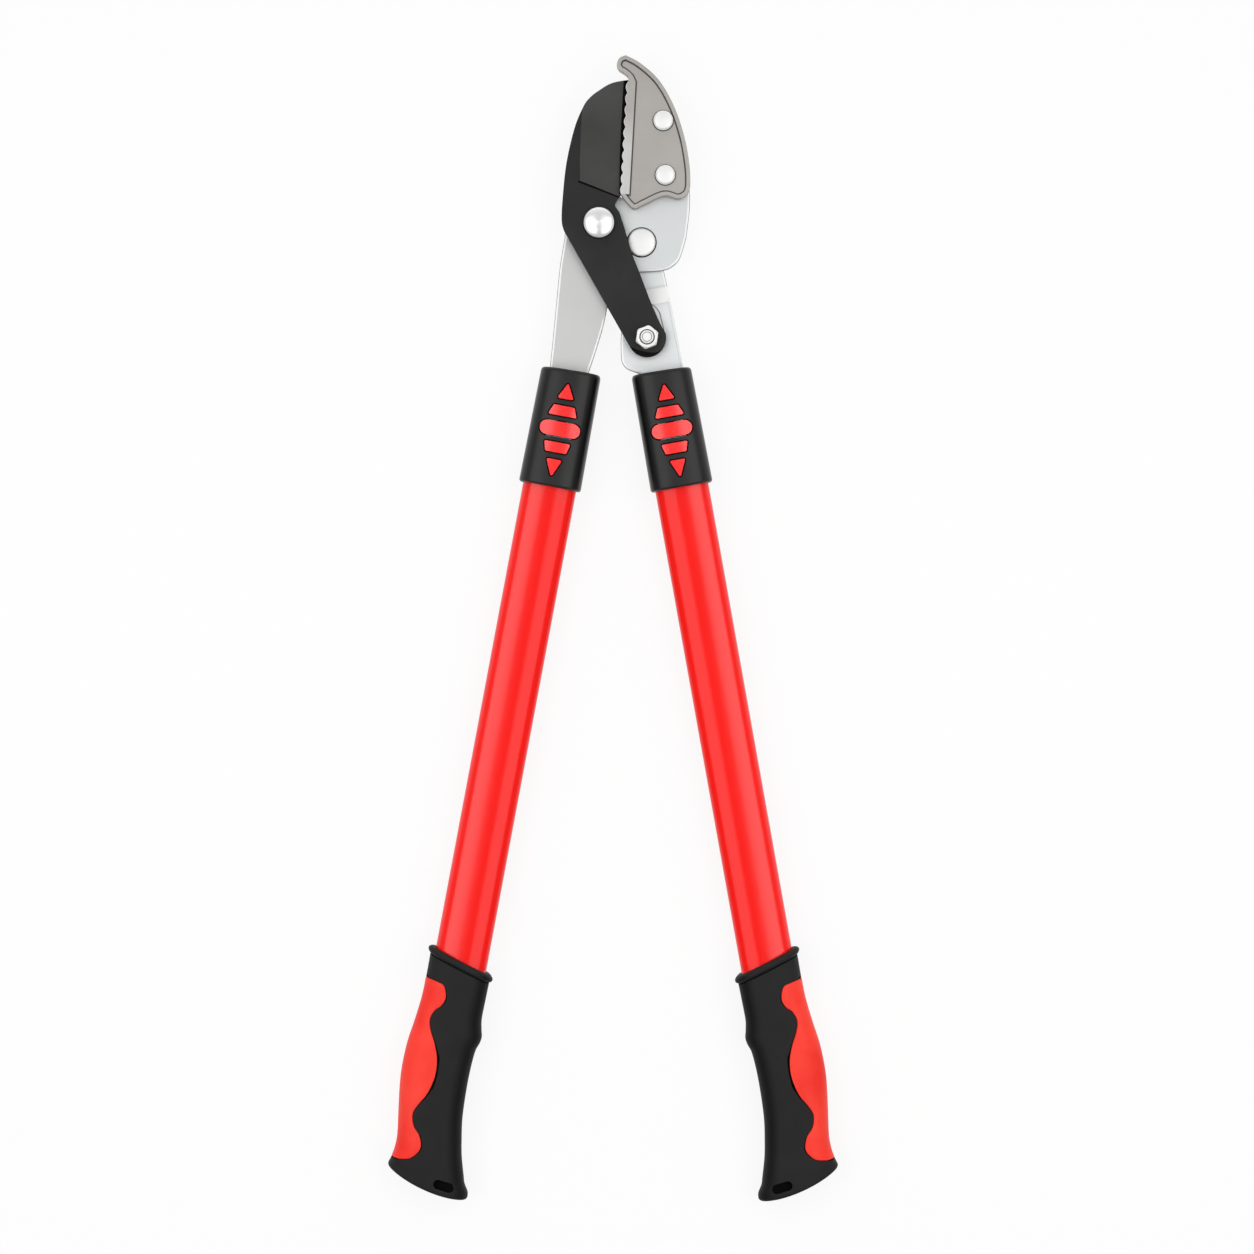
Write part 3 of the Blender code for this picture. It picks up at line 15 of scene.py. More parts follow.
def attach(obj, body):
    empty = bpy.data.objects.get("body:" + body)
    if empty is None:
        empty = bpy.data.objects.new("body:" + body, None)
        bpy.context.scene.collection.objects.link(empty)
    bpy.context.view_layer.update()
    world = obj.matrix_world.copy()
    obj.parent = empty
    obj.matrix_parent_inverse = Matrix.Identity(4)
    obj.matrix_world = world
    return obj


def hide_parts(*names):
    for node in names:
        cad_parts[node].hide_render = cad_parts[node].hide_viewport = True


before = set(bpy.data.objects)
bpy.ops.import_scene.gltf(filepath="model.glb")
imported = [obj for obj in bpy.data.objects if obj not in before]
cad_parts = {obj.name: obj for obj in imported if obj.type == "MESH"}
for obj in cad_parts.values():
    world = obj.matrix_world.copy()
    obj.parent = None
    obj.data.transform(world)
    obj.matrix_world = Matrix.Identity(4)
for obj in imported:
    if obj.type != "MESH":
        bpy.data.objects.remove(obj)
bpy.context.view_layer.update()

MM = 0.001
SIDES = {"left": -1, "right": 1}
HANDLE_ANGLE = radians(10.4)
APEX = 0.3079059  # y of the point where the handle axes meet
COLLAR_FROM_APEX = 0.1532
PIVOT_FROM_APEX = 0.0601
LEVER_PIVOT = (0.0260, -0.0113)
TAIL_PIN = (0.0295, -0.0699)
PIVOT_HOLE, TAIL_HOLE = 0.0053, 0.0043
HANDLE_SWING, BLADE_SWING = radians(63.0), radians(42.0)
MID = 0.0150  # height of the lopper's middle plane
GAP = 0.0003  # between pieces that move on each other

PLATE_FRONT = 0.0020  # heights from the middle plane
BLADE_LOW = 0.0045
BLADE_TOP = 0.0085
ANVIL_LOW = 0.0023
ANVIL_TOP = 0.0110
RECESS = 0.0012
BOSS_TOP = -0.0023

INNER = (0.0293, 0.0160)
INNER_TOP, INNER_END = 0.0040, 0.4340
OUTER = (0.0329, 0.0196)
OUTER_TOP, OUTER_END = 0.0423, 0.4873
OUTER_POWER = 2.5
TUBE_WALL = 0.0013
LOCK_PLACE = 0.0350

COLLAR_LENGTH = 0.0700
COLLAR_HALF = 0.0150
COLLAR_WIDTHS = (0.0367, 0.0382)
COLLAR_POWER = 2.8
TANG_HALF, TANG_END = 0.0100, 0.0400
TANG = [
    (INNER_TOP - GAP, -TANG_HALF), (TANG_END, -TANG_HALF), (TANG_END, TANG_HALF),
    (INNER_TOP - GAP, TANG_HALF), (INNER_TOP - GAP, 0.0127),
]

# Outlines in millimetres from the main pivot
BLADE_BACK = [
    (17.8, 87.0), (7.4, 84.8), (-0.4, 80.2), (-5.8, 75.9), (-9.7, 70.5), (-15.1, 57.2),
    (-20.0, 35.4), (-22.3, 12.1), (-22.6, 0.5), (-21.2, -5.0),
]
BLADE_THROAT = [
    (37.8, -61.9), (31.8, -48.4), (25.7, -32.6), (20.2, -18.6), (16.4, -6.0), (12.4, 6.4),
]
BLADE_NOTCH = [(12.4, 6.4), (10.1, 9.6), (10.0, 11.8), (12.2, 15.4), (14.2, 17.6)]
ANVIL_HOOK = [(17.6, 88.3), (15.2, 90.4), (11.9, 92.6), (10.5, 95.8), (12.2, 99.7), (15.9, 101.4)]
ANVIL_BACK = [
    (15.9, 101.4), (25.0, 96.5), (36.5, 85.9), (45.6, 69.9), (51.9, 51.2), (55.0, 33.4), (55.4, 22.0),
]
ANVIL_FOOT = [
    (55.4, 22.0), (53.6, 17.2), (48.1, 14.4), (39.5, 16.2), (27.9, 11.1), (21.7, 8.3), (17.6, 11.2),
    (13.8, 16.2),
]
ANVIL_FACE = [(13.8, 16.2), (17.4, 85.5)]
ANVIL_RIVETS = {"anvil_rivet_upper": (38.8, 61.8), "anvil_rivet_lower": (40.2, 28.8)}
CARRIER_BACK = [(44.4, 68.0), (49.6, 52.0), (53.0, 38.0), (54.9, 24.0), (55.3, 10.0), (53.3, -8.3)]
CARRIER_HEEL = [
    (53.3, -8.3), (49.3, -20.9), (44.5, -26.1), (39.4, -28.2), (33.0, -28.9), (24.6, -29.3),
]
CARRIER_FRONT = [(16.2, 18.5), (20.2, 30.0), (23.8, 50.0), (27.5, 67.0)]
CARRIER_TOP = [(27.5, 67.0), (32.0, 73.5), (40.0, 73.6), (44.4, 68.0)]
STRAP_FILLET = [(24.6, -29.3), (14.5, -32.0), (8.6, -38.5), (5.0, -52.4)]
STRAP_INNER_EDGE = [(5.0, -52.4), (2.6, -63.4), (-1.7, -78.0), (-6.6, -92.6)]
STRAP_OUTER_EDGE = [(-29.9, -90.5), (-27.9, -70.8), (-26.2, -52.5), (-23.8, -26.9), (-20.9, -8.6)]

# The lever strap in millimetres from the lever rivet, y along the handle
LEVER_RIGHT = [(10.2, -12.0), (10.5, -21.3), (11.2, -45.0), (11.7, -84.0)]
LEVER_LEFT = [
    (-13.0, -80.2), (-15.6, -78.4), (-21.6, -74.8), (-24.2, -71.2), (-24.5, -66.0), (-21.8, -51.4),
    (-16.5, -38.0), (-12.8, -28.0), (-12.2, -12.0),
]
LEVER_FACE = [
    (9.4, -36.9), (10.3, -80.0), (-30.0, -80.9), (-30.0, -150.0), (30.0, -150.0), (30.0, -36.9),
]
TAIL_SHADE = [
    (-12.5, -4.3), (-8.2, -6.2), (-4.5, -7.6), (-0.5, -8.5), (4.0, -9.0), (7.5, -8.1), (10.2, -5.6),
    (12.6, -2.4),
]
LEVER_JOGGLE = (-29.5, -37.5)

# Grip profiles in millimetres: s against u or half depth
GRIP_INNER = (
    (369.5, -19.6), (389.0, -19.2), (397.0, -19.2), (403.0, -20.2), (407.5, -21.2), (411.5, -20.6),
    (416.8, -18.9), (429.0, -18.0), (444.0, -18.0), (459.0, -18.8), (471.5, -20.7), (480.0, -22.3),
    (487.0, -24.2), (493.0, -26.0), (497.0, -27.2), (500.5, -29.3), (503.5, -30.5), (514.0, -30.9),
)
GRIP_OUTER = (
    (355.0, 19.2), (374.0, 19.0), (389.0, 19.2), (404.0, 20.8), (418.5, 22.8), (433.0, 23.3),
    (444.0, 22.6), (459.0, 20.6), (473.0, 18.6), (481.0, 18.4), (488.0, 19.4), (497.0, 22.4),
)
GRIP_HALF_DEPTH = (
    (355.0, 13.6), (380.0, 13.4), (410.0, 14.2), (440.0, 14.4), (470.0, 13.8), (492.0, 14.7),
    (506.0, 15.0), (520.0, 15.0),
)
GRIP_INLAY_EDGE = (
    (377.2, 17.5), (378.1, 11.0), (380.0, 6.8), (386.5, 4.6), (391.8, 6.4), (395.4, 9.9),
    (401.3, 11.8), (407.5, 10.1), (415.0, 6.1), (423.2, 3.0), (431.5, 2.0), (438.8, 2.8),
    (446.5, 5.2), (453.2, 9.1), (459.3, 11.4), (466.3, 9.6), (471.6, 5.0), (478.0, 2.8),
    (482.6, 4.5), (486.4, 8.6), (488.2, 15.5),
)
GRIP_RIM, GRIP_BUTT = 0.3633, 0.5025
RIM_SLANT, BUTT_SLANT = 0.30, 0.287
BUTT_BOW = 5.2  # slant per metre
INLAY_START, INLAY_END = 0.3772, 0.4882
GRIP_ROUNDNESS = 2.5
GRIP_LIMIT = 0.0149  # half the height that its skin stays in
HANG_SLOT = (0.0127, 0.0055)
HANG_PLACE = (0.4990, -0.0154)
HANG_LEAN = radians(8.5)
BUTTON = (0.0247, 0.0088)
COLLAR_WINDOWS = {
    "collar_arrow_top": [(0, 28.5), (5.1, 18.5), (-5.1, 18.5)],
    "collar_bar_upper": [(6.3, 14.3), (8.9, 8.1), (-8.9, 8.1), (-6.3, 14.3)],
    "collar_bar_lower": [(8.1, -8.1), (6.4, -14.3), (-6.4, -14.3), (-8.1, -8.1)],
    "collar_arrow_bottom": [(4.9, -18.5), (0, -29.7), (-4.9, -18.5)],
}


# Points and outlines


def eased(share):
    share = min(max(share, 0.0), 1.0)
    return share * share * (3 - 2 * share)


def through(keys, steps=8):
    """A smooth line through points."""
    if len(keys) == 2:
        return list(keys)
    points = []
    ends = [keys[0], *keys, keys[-1]]
    for corners in zip(ends, ends[1:], ends[2:], ends[3:]):
        for step in range(steps):
            t = step / steps
            weights = (
                -t * (1 - t) ** 2 / 2, 1 + t * t * (3 * t - 5) / 2,
                t * (1 + t * (4 - 3 * t)) / 2, -t * t * (1 - t) / 2,
            )
            points.append(tuple(sum(w * c[axis] for w, c in zip(weights, corners)) for axis in (0, 1)))
    points.append(tuple(keys[-1]))
    return points


def arc(centre, radius, start, end, step=radians(7.5)):
    steps = max(1, ceil(abs(end - start) / step - 0.01))
    return [
        (
            centre[0] + radius * cos(start + (end - start) * i / steps),
            centre[1] + radius * sin(start + (end - start) * i / steps),
        )
        for i in range(steps + 1)
    ]


def circle(centre, radius, facets=64):
    turns = [2 * pi * i / facets for i in range(facets)]
    return [(centre[0] + radius * cos(a), centre[1] + radius * sin(a)) for a in turns]


def scaled(points):
    return [(x * MM, y * MM) for x, y in points]


def curve(keys):
    return scaled(through(keys))


def joined(*stretches):
    """One closed outline from stretches that may share their ends."""
    outline = []
    for stretch in stretches:
        for point in stretch:
            if not outline or dist(point, outline[-1]) > 0.05 * MM:
                outline.append(point)
    if dist(outline[0], outline[-1]) < 0.05 * MM:
        outline.pop()
    return outline


def rounded(corners, radius):
    outline = []
    for index, corner in enumerate(corners):
        here = Vector(corner[:2])
        before = (Vector(corners[index - 1][:2]) - here).normalized()
        after = (Vector(corners[(index + 1) % len(corners)][:2]) - here).normalized()
        half = before.angle(after) / 2
        centre = here + (before + after).normalized() * radius / sin(half)
        start = here + before * radius / tan(half) - centre
        end = here + after * radius / tan(half) - centre
        first = atan2(start.y, start.x)
        swept_by = (atan2(end.y, end.x) - first + pi) % (2 * pi) - pi
        outline += arc(centre, radius, first, first + swept_by, radians(12.0))
    return outline


def obround(width, depth):
    radius = depth / 2
    reach = width / 2 - radius
    right = arc((reach, 0), radius, -pi / 2, pi / 2)
    return right + [(-x, -y) for x, y in right]


def box_outline(half_x, low_y, high_y, radius):
    return rounded([(half_x, low_y), (half_x, high_y), (-half_x, high_y), (-half_x, low_y)], radius)


def area(outline):
    return sum(a[0] * b[1] - b[0] * a[1] for a, b in zip(outline, outline[1:] + outline[:1])) / 2


def shrunk(outline, by):
    """Move an outline's sides into the area that it holds, or out with a negative distance."""
    hand = 1 if area(outline) > 0 else -1
    moved = []
    for index, point in enumerate(outline):
        here = Vector(point)
        before = (here - Vector(outline[index - 1])).normalized()
        after = (Vector(outline[(index + 1) % len(outline)]) - here).normalized()
        normal = Vector((-(before.y + after.y), before.x + after.x)).normalized() * hand
        lean = max(normal.dot(Vector((-before.y, before.x)) * hand), 0.5)
        moved.append(tuple(here + normal * by / lean))
    return moved


def from_pivot(point, origin, turn=0.0):
    """A point as seen from an origin whose axes are turned."""
    dx, dy = point[0] - origin[0], point[1] - origin[1]
    return (dx * cos(turn) + dy * sin(turn), dy * cos(turn) - dx * sin(turn))


def swept(path, radius):
    """The outline that a disc covers on its way along a path."""
    points = [point for centre in path for point in circle(centre, radius, 72)]
    return [points[index] for index in geometry.convex_hull_2d(points)]


def capsule(length, width, grow=0.0):
    reach = (length - width) / 2
    return swept([(-reach, 0), (reach, 0)], width / 2 + grow)


SINE, COSINE = sin(HANDLE_ANGLE), cos(HANDLE_ANGLE)
MAIN = (-PIVOT_FROM_APEX * SINE, APEX - PIVOT_FROM_APEX * COSINE)
LEVER = (MAIN[0] + LEVER_PIVOT[0], MAIN[1] + LEVER_PIVOT[1])


def handle_top(side):
    return (side * COLLAR_FROM_APEX * SINE, APEX - COLLAR_FROM_APEX * COSINE)


def on_handle(side, s, u):
    x, y = handle_top(side)
    return (x + side * (s * SINE + u * COSINE), y - s * COSINE + u * SINE)


def tang(side, origin, turn=0.0):
    return [from_pivot(on_handle(side, s, u), origin, turn) for s, u in TANG]


def placed(x, y, turn=0.0):
    return Matrix.Translation((x, y, MID)) @ Matrix.Rotation(turn, 4, "Z")


AT_MAIN = placed(*MAIN)
AT_LEVER = placed(*LEVER, HANDLE_ANGLE)
AT_RIVET = placed(*LEVER)
AT_TAIL = placed(MAIN[0] + TAIL_PIN[0], MAIN[1] + TAIL_PIN[1])


def at_handle(side):
    return placed(*handle_top(side), side * HANDLE_ANGLE)


# Meshes


def finished(shape, place=Matrix()):
    bmesh.ops.transform(shape, matrix=place, verts=shape.verts)
    bmesh.ops.recalc_face_normals(shape, faces=shape.faces)
    mesh = bpy.data.meshes.new("mesh")
    shape.to_mesh(mesh)
    shape.free()
    return mesh


def ring_of(shape, outline, height):
    return [shape.verts.new((x, y, height)) for x, y in outline]


def strip(shape, low, high, slot=0):
    for i in range(len(low)):
        j = (i + 1) % len(low)
        shape.faces.new((low[i], low[j], high[j], high[i])).material_index = slot


def cap(shape, rings, slot=0):
    edges = []
    for ring in rings:
        for i in range(len(ring)):
            a, b = ring[i], ring[(i + 1) % len(ring)]
            edges.append(shape.edges.get((a, b)) or shape.edges.new((a, b)))
    made = bmesh.ops.triangle_fill(shape, use_beauty=True, use_dissolve=False, edges=edges)
    for item in made["geom"]:
        if isinstance(item, bmesh.types.BMFace):
            item.material_index = slot


def easing(radius, steps):
    """A rounded edge: distances from an end, each with how far the outline is drawn in there."""
    turns = [pi / 2 * i / steps for i in range(steps, -1, -1)]
    return [(radius * (1 - sin(a)), radius * (1 - cos(a))) for a in turns]


def edge_profile(low, high, ease, chamfer):
    """Heights and insets of a side. A chamfer (width, drop) takes its upper rounding's place."""
    lower = [(low + height, inset) for height, inset in easing(ease, 4)]
    if chamfer:
        width, drop = chamfer
        return lower + [(high - drop - 0.0004, 0.0), (high - drop, 0.00035), (high, width)]
    return lower + [(high - height + low, inset) for height, inset in reversed(lower)]


def slab(outlines, low, high, ease, place=Matrix(), open_top=None, chamfer=None):
    """A sheet with rounded edges. Outlines after the first are holes.

    With a chamfer the side is in slot 1 and the chamfer in slot 2.
    """
    shape = bmesh.new()
    tops, bottoms = [], []
    for number, outline in enumerate(outlines):
        sign = -1 if number else 1
        rings = [ring_of(shape, shrunk(outline, sign * inset), height)
                 for height, inset in edge_profile(low, high, ease, None if number else chamfer)]
        for count, (a, b) in enumerate(zip(rings, rings[1:])):
            faced = chamfer and not number and count >= len(rings) - 4
            strip(shape, a, b, (1 + (count == len(rings) - 2)) if faced else 0)
        bottoms.append(rings[0])
        tops.append(rings[-1])
    cap(shape, bottoms)
    if open_top:
        open_top(shape, tops)
    else:
        cap(shape, tops)
    return finished(shape, place)


def prism(outline, low, high, place=Matrix(), flare=0.0):
    """A plain cutter. With a flare it grows wider towards its top."""
    shape = bmesh.new()
    rows = [ring_of(shape, outline, low), ring_of(shape, shrunk(outline, -flare), high)]
    strip(shape, *rows)
    cap(shape, rows[:1])
    cap(shape, rows[1:])
    return finished(shape, place)


def loft(rings, place):
    shape = bmesh.new()
    rows = [[shape.verts.new(point) for point in ring] for ring in rings]
    for a, b in zip(rows, rows[1:]):
        strip(shape, a, b)
    shape.faces.new(rows[0][::-1])
    shape.faces.new(rows[-1])
    return finished(shape, place)


def turned(profile, place, facets=72):
    """A turned piece from (radius, height, slot of the band below) points, first to last."""
    shape = bmesh.new()
    rows = []
    for radius, height, *_ in profile:
        outline = circle((0, 0), radius, facets) if radius else [(0, 0)]
        rows.append(ring_of(shape, outline, height))
    for (_, _, *slot), a, b in zip(profile, rows, rows[1:]):
        for i in range(facets):
            j = (i + 1) % facets
            corners = dict.fromkeys((a[i % len(a)], b[i % len(b)], b[j % len(b)], a[j % len(a)]))
            shape.faces.new(tuple(corners)).material_index = slot[0] if slot else 0
    bmesh.ops.remove_doubles(shape, verts=shape.verts, dist=0.0001 * MM)
    return finished(shape, place)


def mark(mesh, slot, low, high, chosen):
    """Give chosen faces whose normals rise between two values another material slot."""
    for face in mesh.polygons:
        if low < face.normal.z < high and chosen(face.center):
            face.material_index = slot


def linked(name, data):
    item = bpy.data.objects.new(name, data)
    bpy.context.scene.collection.objects.link(item)
    return item


def piece(node_name, mesh, body, looks, sharp=32.0, name=None):
    """A visible piece that rides a body in place of a CAD node. looks are in the order of slots."""
    item = linked(name or f"{node_name}_fine", mesh)
    slots = [face.material_index for face in mesh.polygons]
    mesh.materials.clear()
    for look in looks:
        mesh.materials.append(LOOKS[look])
    mesh.polygons.foreach_set("material_index", slots)
    mesh.shade_smooth()
    mesh.set_sharp_from_angle(angle=radians(sharp))
    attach(item, body)
    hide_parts(node_name)


def cut(mesh, cutters, looks, operation="DIFFERENCE"):
    """The mesh with shapes cut from it. A cutter may bring its own look for the cut faces."""
    base = linked("base", mesh)
    for look in looks:
        mesh.materials.append(LOOKS[look])
    made = []
    for cutter in cutters:
        tool, look = cutter if isinstance(cutter, tuple) else (cutter, looks[0])
        tool.materials.append(LOOKS[look])
        made.append(linked("tool", tool))
        step = base.modifiers.new("cut", "BOOLEAN")
        step.operation = operation
        step.solver = "EXACT"
        step.material_mode = "TRANSFER"
        step.object = made[-1]
    graph = bpy.context.evaluated_depsgraph_get()
    result = bpy.data.meshes.new_from_object(base.evaluated_get(graph))
    for item in (*made, base):
        bpy.data.objects.remove(item, do_unlink=True)
    return result


def darken(mesh):
    """Slot 1 for the faces with the dark line's look, slot 0 for the others."""
    names = [look.name for look in mesh.materials]
    for face in mesh.polygons:
        face.material_index = int(names[face.material_index] == "dark_line")


# Materials


def new_material(name):
    made = bpy.data.materials.new(name)
    made.use_nodes = True
    return made, made.node_tree, made.node_tree.nodes["Principled BSDF"]


def filled(tree, made, **values):
    """Set a node's inputs and settings, and link sockets. Names of inputs have _ for a space."""
    for key, value in values.items():
        name = key.replace("_", " ")
        if isinstance(value, bpy.types.NodeSocket):
            tree.links.new(value, made.inputs[name])
        elif name in made.inputs:
            made.inputs[name].default_value = value
        else:
            setattr(made, key, value)
    return made


def node(tree, kind, **values):
    return filled(tree, tree.nodes.new(f"ShaderNode{kind}"), **values)


def coordinate(tree, kind):
    return node(tree, "TexCoord").outputs[kind]


def mapped(tree, **values):
    """Object space moved, turned or scaled."""
    return node(tree, "Mapping", Vector=coordinate(tree, "Object"), **values).outputs["Vector"]


def grain(tree, scale, detail, stretch=None, turn=0.0):
    """Noise in object space, stretched along an axis when asked."""
    if stretch:
        source = mapped(tree, Rotation=(0, 0, turn), Scale=stretch)
    else:
        source = coordinate(tree, "Object")
    return node(tree, "TexNoise", Scale=scale, Detail=detail, Vector=source).outputs["Fac"]


def ranged(tree, source, low, high, start=0.0, end=1.0):
    """A value from start..end brought to low..high."""
    return node(
        tree, "MapRange", Value=source, From_Min=start, From_Max=end, To_Min=low, To_Max=high,
    ).outputs["Result"]


def leaning(tree, source, direction, low, high, start, end):
    """How far a vector goes along a direction, from start..end brought to low..high."""
    dot = node(tree, "VectorMath", operation="DOT_PRODUCT")
    dot.inputs[1].default_value = (*direction, 0.0)
    tree.links.new(source, dot.inputs[0])
    return ranged(tree, dot.outputs["Value"], low, high, start, end)


def maths(tree, operation, *sources):
    made = node(tree, "Math", operation=operation)
    for source, socket in zip(sources, made.inputs):
        tree.links.new(source, socket)
    return made.outputs["Value"]


def blended(tree, factor, first, second):
    """A mix of two colours, each a tuple or a socket."""
    first, second = ((*c, 1.0) if isinstance(c, tuple) else c for c in (first, second))
    return node(tree, "Mix", data_type="RGBA", Factor=factor, A=first, B=second).outputs["Result"]


def clouded(tree, scale, detail, darker, lighter):
    return blended(tree, ranged(tree, grain(tree, scale, detail), 0.0, 1.0, 0.3, 0.7), darker, lighter)


def bumped(tree, height, distance):
    return node(tree, "Bump", Strength=1.0, Distance=distance, Height=height).outputs["Normal"]


def metal(name, colour, roughness, turn=0.0, brush=0.05, scratch=0.00001, metallic=1.0, second=None,
          centre=None):
    """Ground steel: fine scratches along one direction and a faint cloudiness.

    second is (colour, direction, start, end) of what it turns to. centre gives it turned grooves.
    """
    made, tree, shader = new_material(name)
    lines = grain(tree, 60.0, 4.0, (1.0, 22.0, 22.0), turn)

    def cloudy(shade):
        darker = tuple(c * (1 - brush) for c in shade)
        lighter = tuple(min(1.0, c * (1 + brush)) for c in shade)
        return clouded(tree, 38.0, 3.0, darker, lighter)

    result = cloudy(colour)
    if second:
        other, direction, start, end = second
        share = leaning(tree, coordinate(tree, "Object"), direction, 0.0, 1.0, start, end)
        result = blended(tree, share, result, cloudy(other))
    height = lines
    if centre:
        around = mapped(tree, Location=(-centre[0], -centre[1], 0))
        height = node(
            tree, "TexWave", wave_type="RINGS", rings_direction="Z", Scale=560.0, Vector=around,
        ).outputs["Fac"]
    filled(
        tree, shader, Base_Color=result, Metallic=metallic, Normal=bumped(tree, height, scratch),
        Roughness=ranged(tree, lines, roughness - 0.06, roughness + 0.08, 0.25, 0.75),
    )
    return made


def coated(name, colour, roughness, specular=0.35, fine=0.00002, lighter=None, painted_shade_side=None):
    """Black coating or rubber with a fine orange-peel texture.

    The last argument is (direction, start, end) of painted shade: it turns black where its surface faces
    that way.
    """
    made, tree, shader = new_material(name)
    speckle = grain(tree, 900.0, 2.0)
    darker = tuple(c * 0.85 for c in colour)
    result = clouded(tree, 30.0, 3.0, darker, lighter or tuple(c * 1.2 for c in colour))
    if painted_shade_side:
        direction, start, end = painted_shade_side
        share = leaning(tree, coordinate(tree, "Normal"), direction, 0.0, 1.0, start, end)
        # Painted shade: near black on the side that faces the other handle
        result = blended(tree, share, result, (0.002, 0.0015, 0.0015))
    filled(
        tree, shader, Base_Color=result, Specular_IOR_Level=specular, Normal=bumped(tree, speckle, fine),
        Roughness=ranged(tree, speckle, roughness - 0.04, roughness + 0.06),
    )
    return made


def glossy(name, colour, roughness, specular, ripple, scale, outward=None):
    """Gloss paint or plastic with a slight unevenness.

    outward is (direction, gloss facing away from it, gloss facing it).
    """
    made, tree, shader = new_material(name)
    peel = grain(tree, scale, 2.0)
    if outward:
        direction, low, high = outward
        specular = leaning(tree, coordinate(tree, "Normal"), direction, low, high, -0.2, 0.2)
    filled(
        tree, shader, Base_Color=clouded(tree, 12.0, 2.0, tuple(c * 0.97 for c in colour), colour),
        Roughness=ranged(tree, peel, roughness - 0.02, roughness + 0.03),
        Specular_IOR_Level=specular, Normal=bumped(tree, peel, ripple),
    )
    return made


CARRIER = (0.630, 0.650, 0.650)
STRAP_SHADE = (0.545, 0.545, 0.539)
ANVIL = (0.400, 0.382, 0.358)
STRAP_SIDE = (-0.921, -0.389)  # across the blade's tail, to the strap
TAIL_LINE = MAIN[0] * STRAP_SIDE[0] + MAIN[1] * STRAP_SIDE[1]
LOOKS = {
    # The carrier's steel turns darker over the left strap beyond the blade's tail: painted shade on one
    # plate
    "carrier": metal("carrier_steel", CARRIER, 0.42, 0.3, 0.02, metallic=0.5,
                     second=(STRAP_SHADE, STRAP_SIDE, TAIL_LINE + 0.004, TAIL_LINE + 0.010)),
    "lever": metal("lever_steel", (0.710, 0.733, 0.733), 0.42, 0.18, 0.02, metallic=0.5),
    # Painted highlight: light steel for the lever strap's joggle slope, as if it caught the light
    "joggle_highlight": metal("joggle_painted_highlight", (0.90, 0.90, 0.89), 0.42, 0.0, 0.02, metallic=0.1),
    # Painted highlight: light steel on the plates' chamfers, where the edges catch the light
    "edge": metal("edge_painted_highlight", (0.90, 0.91, 0.91), 0.40, 0.0, 0.02, metallic=0.2),
    # Painted shade: dark grey on the plates' sides, a shade line round their edges
    "edge_shade": metal("edge_painted_shade", (0.30, 0.30, 0.30), 0.6, 0.0, 0.05, metallic=0.3),
    "anvil": metal("anvil_alloy", ANVIL, 0.5, 0.0, 0.04, 0.00002, 0.4),
    "anvil_strip": metal("anvil_strip", (0.56, 0.55, 0.54), 0.45, 0.0, 0.06, 0.00002, 0.4,
                         second=(ANVIL, (0.0, 1.0), MAIN[1] + 0.045, MAIN[1] + 0.068)),
    # Painted shade: near black for recess walls, countersinks and plate sides where shade falls
    "dark_shade_line": metal("dark_shade_line", (0.09, 0.083, 0.08), 0.6, 0.0, 0.05, 0.00001, 0.2),
    # Painted shade: mid grey for the ring at the tail bolt's end
    "grey_shade_line": metal("grey_shade_line", (0.40, 0.40, 0.40), 0.6, 0.0, 0.05, 0.00001, 0.2),
    # Bright steel of the rivets, nuts and bolts, and a painted highlight on the anvil's scallop crests
    "bright": metal("bright_steel", (0.84, 0.84, 0.83), 0.42, 0.0, 0.015, 0.000002, 0.35),
    "polished": metal("polished_steel", (0.88, 0.88, 0.88), 0.20, 0.0, 0.01, 0.00002, 0.5, centre=MAIN),
    "zinc": metal("zinc_steel", (0.80, 0.81, 0.815), 0.30, 0.0, 0.04, 0.000005, 0.6),
    "shadow_line": coated("dark_line", (0.003, 0.003, 0.003), 0.8, 0.03),
    "blade": coated("blade_coating", (0.020, 0.020, 0.020), 0.5, 0.16),
    "ground": coated("blade_ground", (0.045, 0.045, 0.043), 0.45, 0.24),
    "keen": coated("blade_edge", (0.004, 0.0036, 0.0036), 0.5, 0.05),
    "inlay": glossy("inlay_red", (0.96, 0.004, 0.002), 0.24, 0.8, 0.00001, 500.0),
    "grip_red": coated("grip_red_rubber", (1.0, 0.020, 0.008), 0.5, 0.3, 0.00003, (0.98, 0.050, 0.028)),
    "grey": coated("bush_plastic", (0.25, 0.25, 0.25), 0.5),
    "inner": metal("tube_inner", (0.62, 0.63, 0.65), 0.4, 0.0, 0.04, 0.00001),
    "spring": metal("spring_steel", (0.45, 0.45, 0.46), 0.35),
    # Painted shade: near black on the lock stirrup, so it shows as shade through the windows' gaps
    "shade_black": coated("stirrup_painted_shade", (0.004, 0.004, 0.004), 0.6, 0.1),
}
# Each side has its own collar and grip looks, for painted shade on the side that faces the other handle
for side_name, side in SIDES.items():
    facing_in = (-side * COSINE, -SINE)
    facing_out = (side * COSINE, SINE)
    LOOKS[f"{side_name}_collar"] = coated(
        f"{side_name}_collar_plastic", (0.0135, 0.0135, 0.0132), 0.32, 0.26, 0.000015,
        painted_shade_side=(facing_in, 0.40, 0.66))
    LOOKS[f"{side_name}_grip"] = coated(
        f"{side_name}_grip_rubber", (0.0130, 0.0125, 0.0125), 0.6, 0.17, 0.00004,
        painted_shade_side=(facing_in, 0.30, 0.62))
    LOOKS[f"{side_name}_red_tube"] = glossy(
        f"{side_name}_tube_red", (0.95, 0.004, 0.001), 0.20, 0.5, 0.00002, 220.0,
        outward=(facing_out, 0.32, 0.56))


# Cutting head


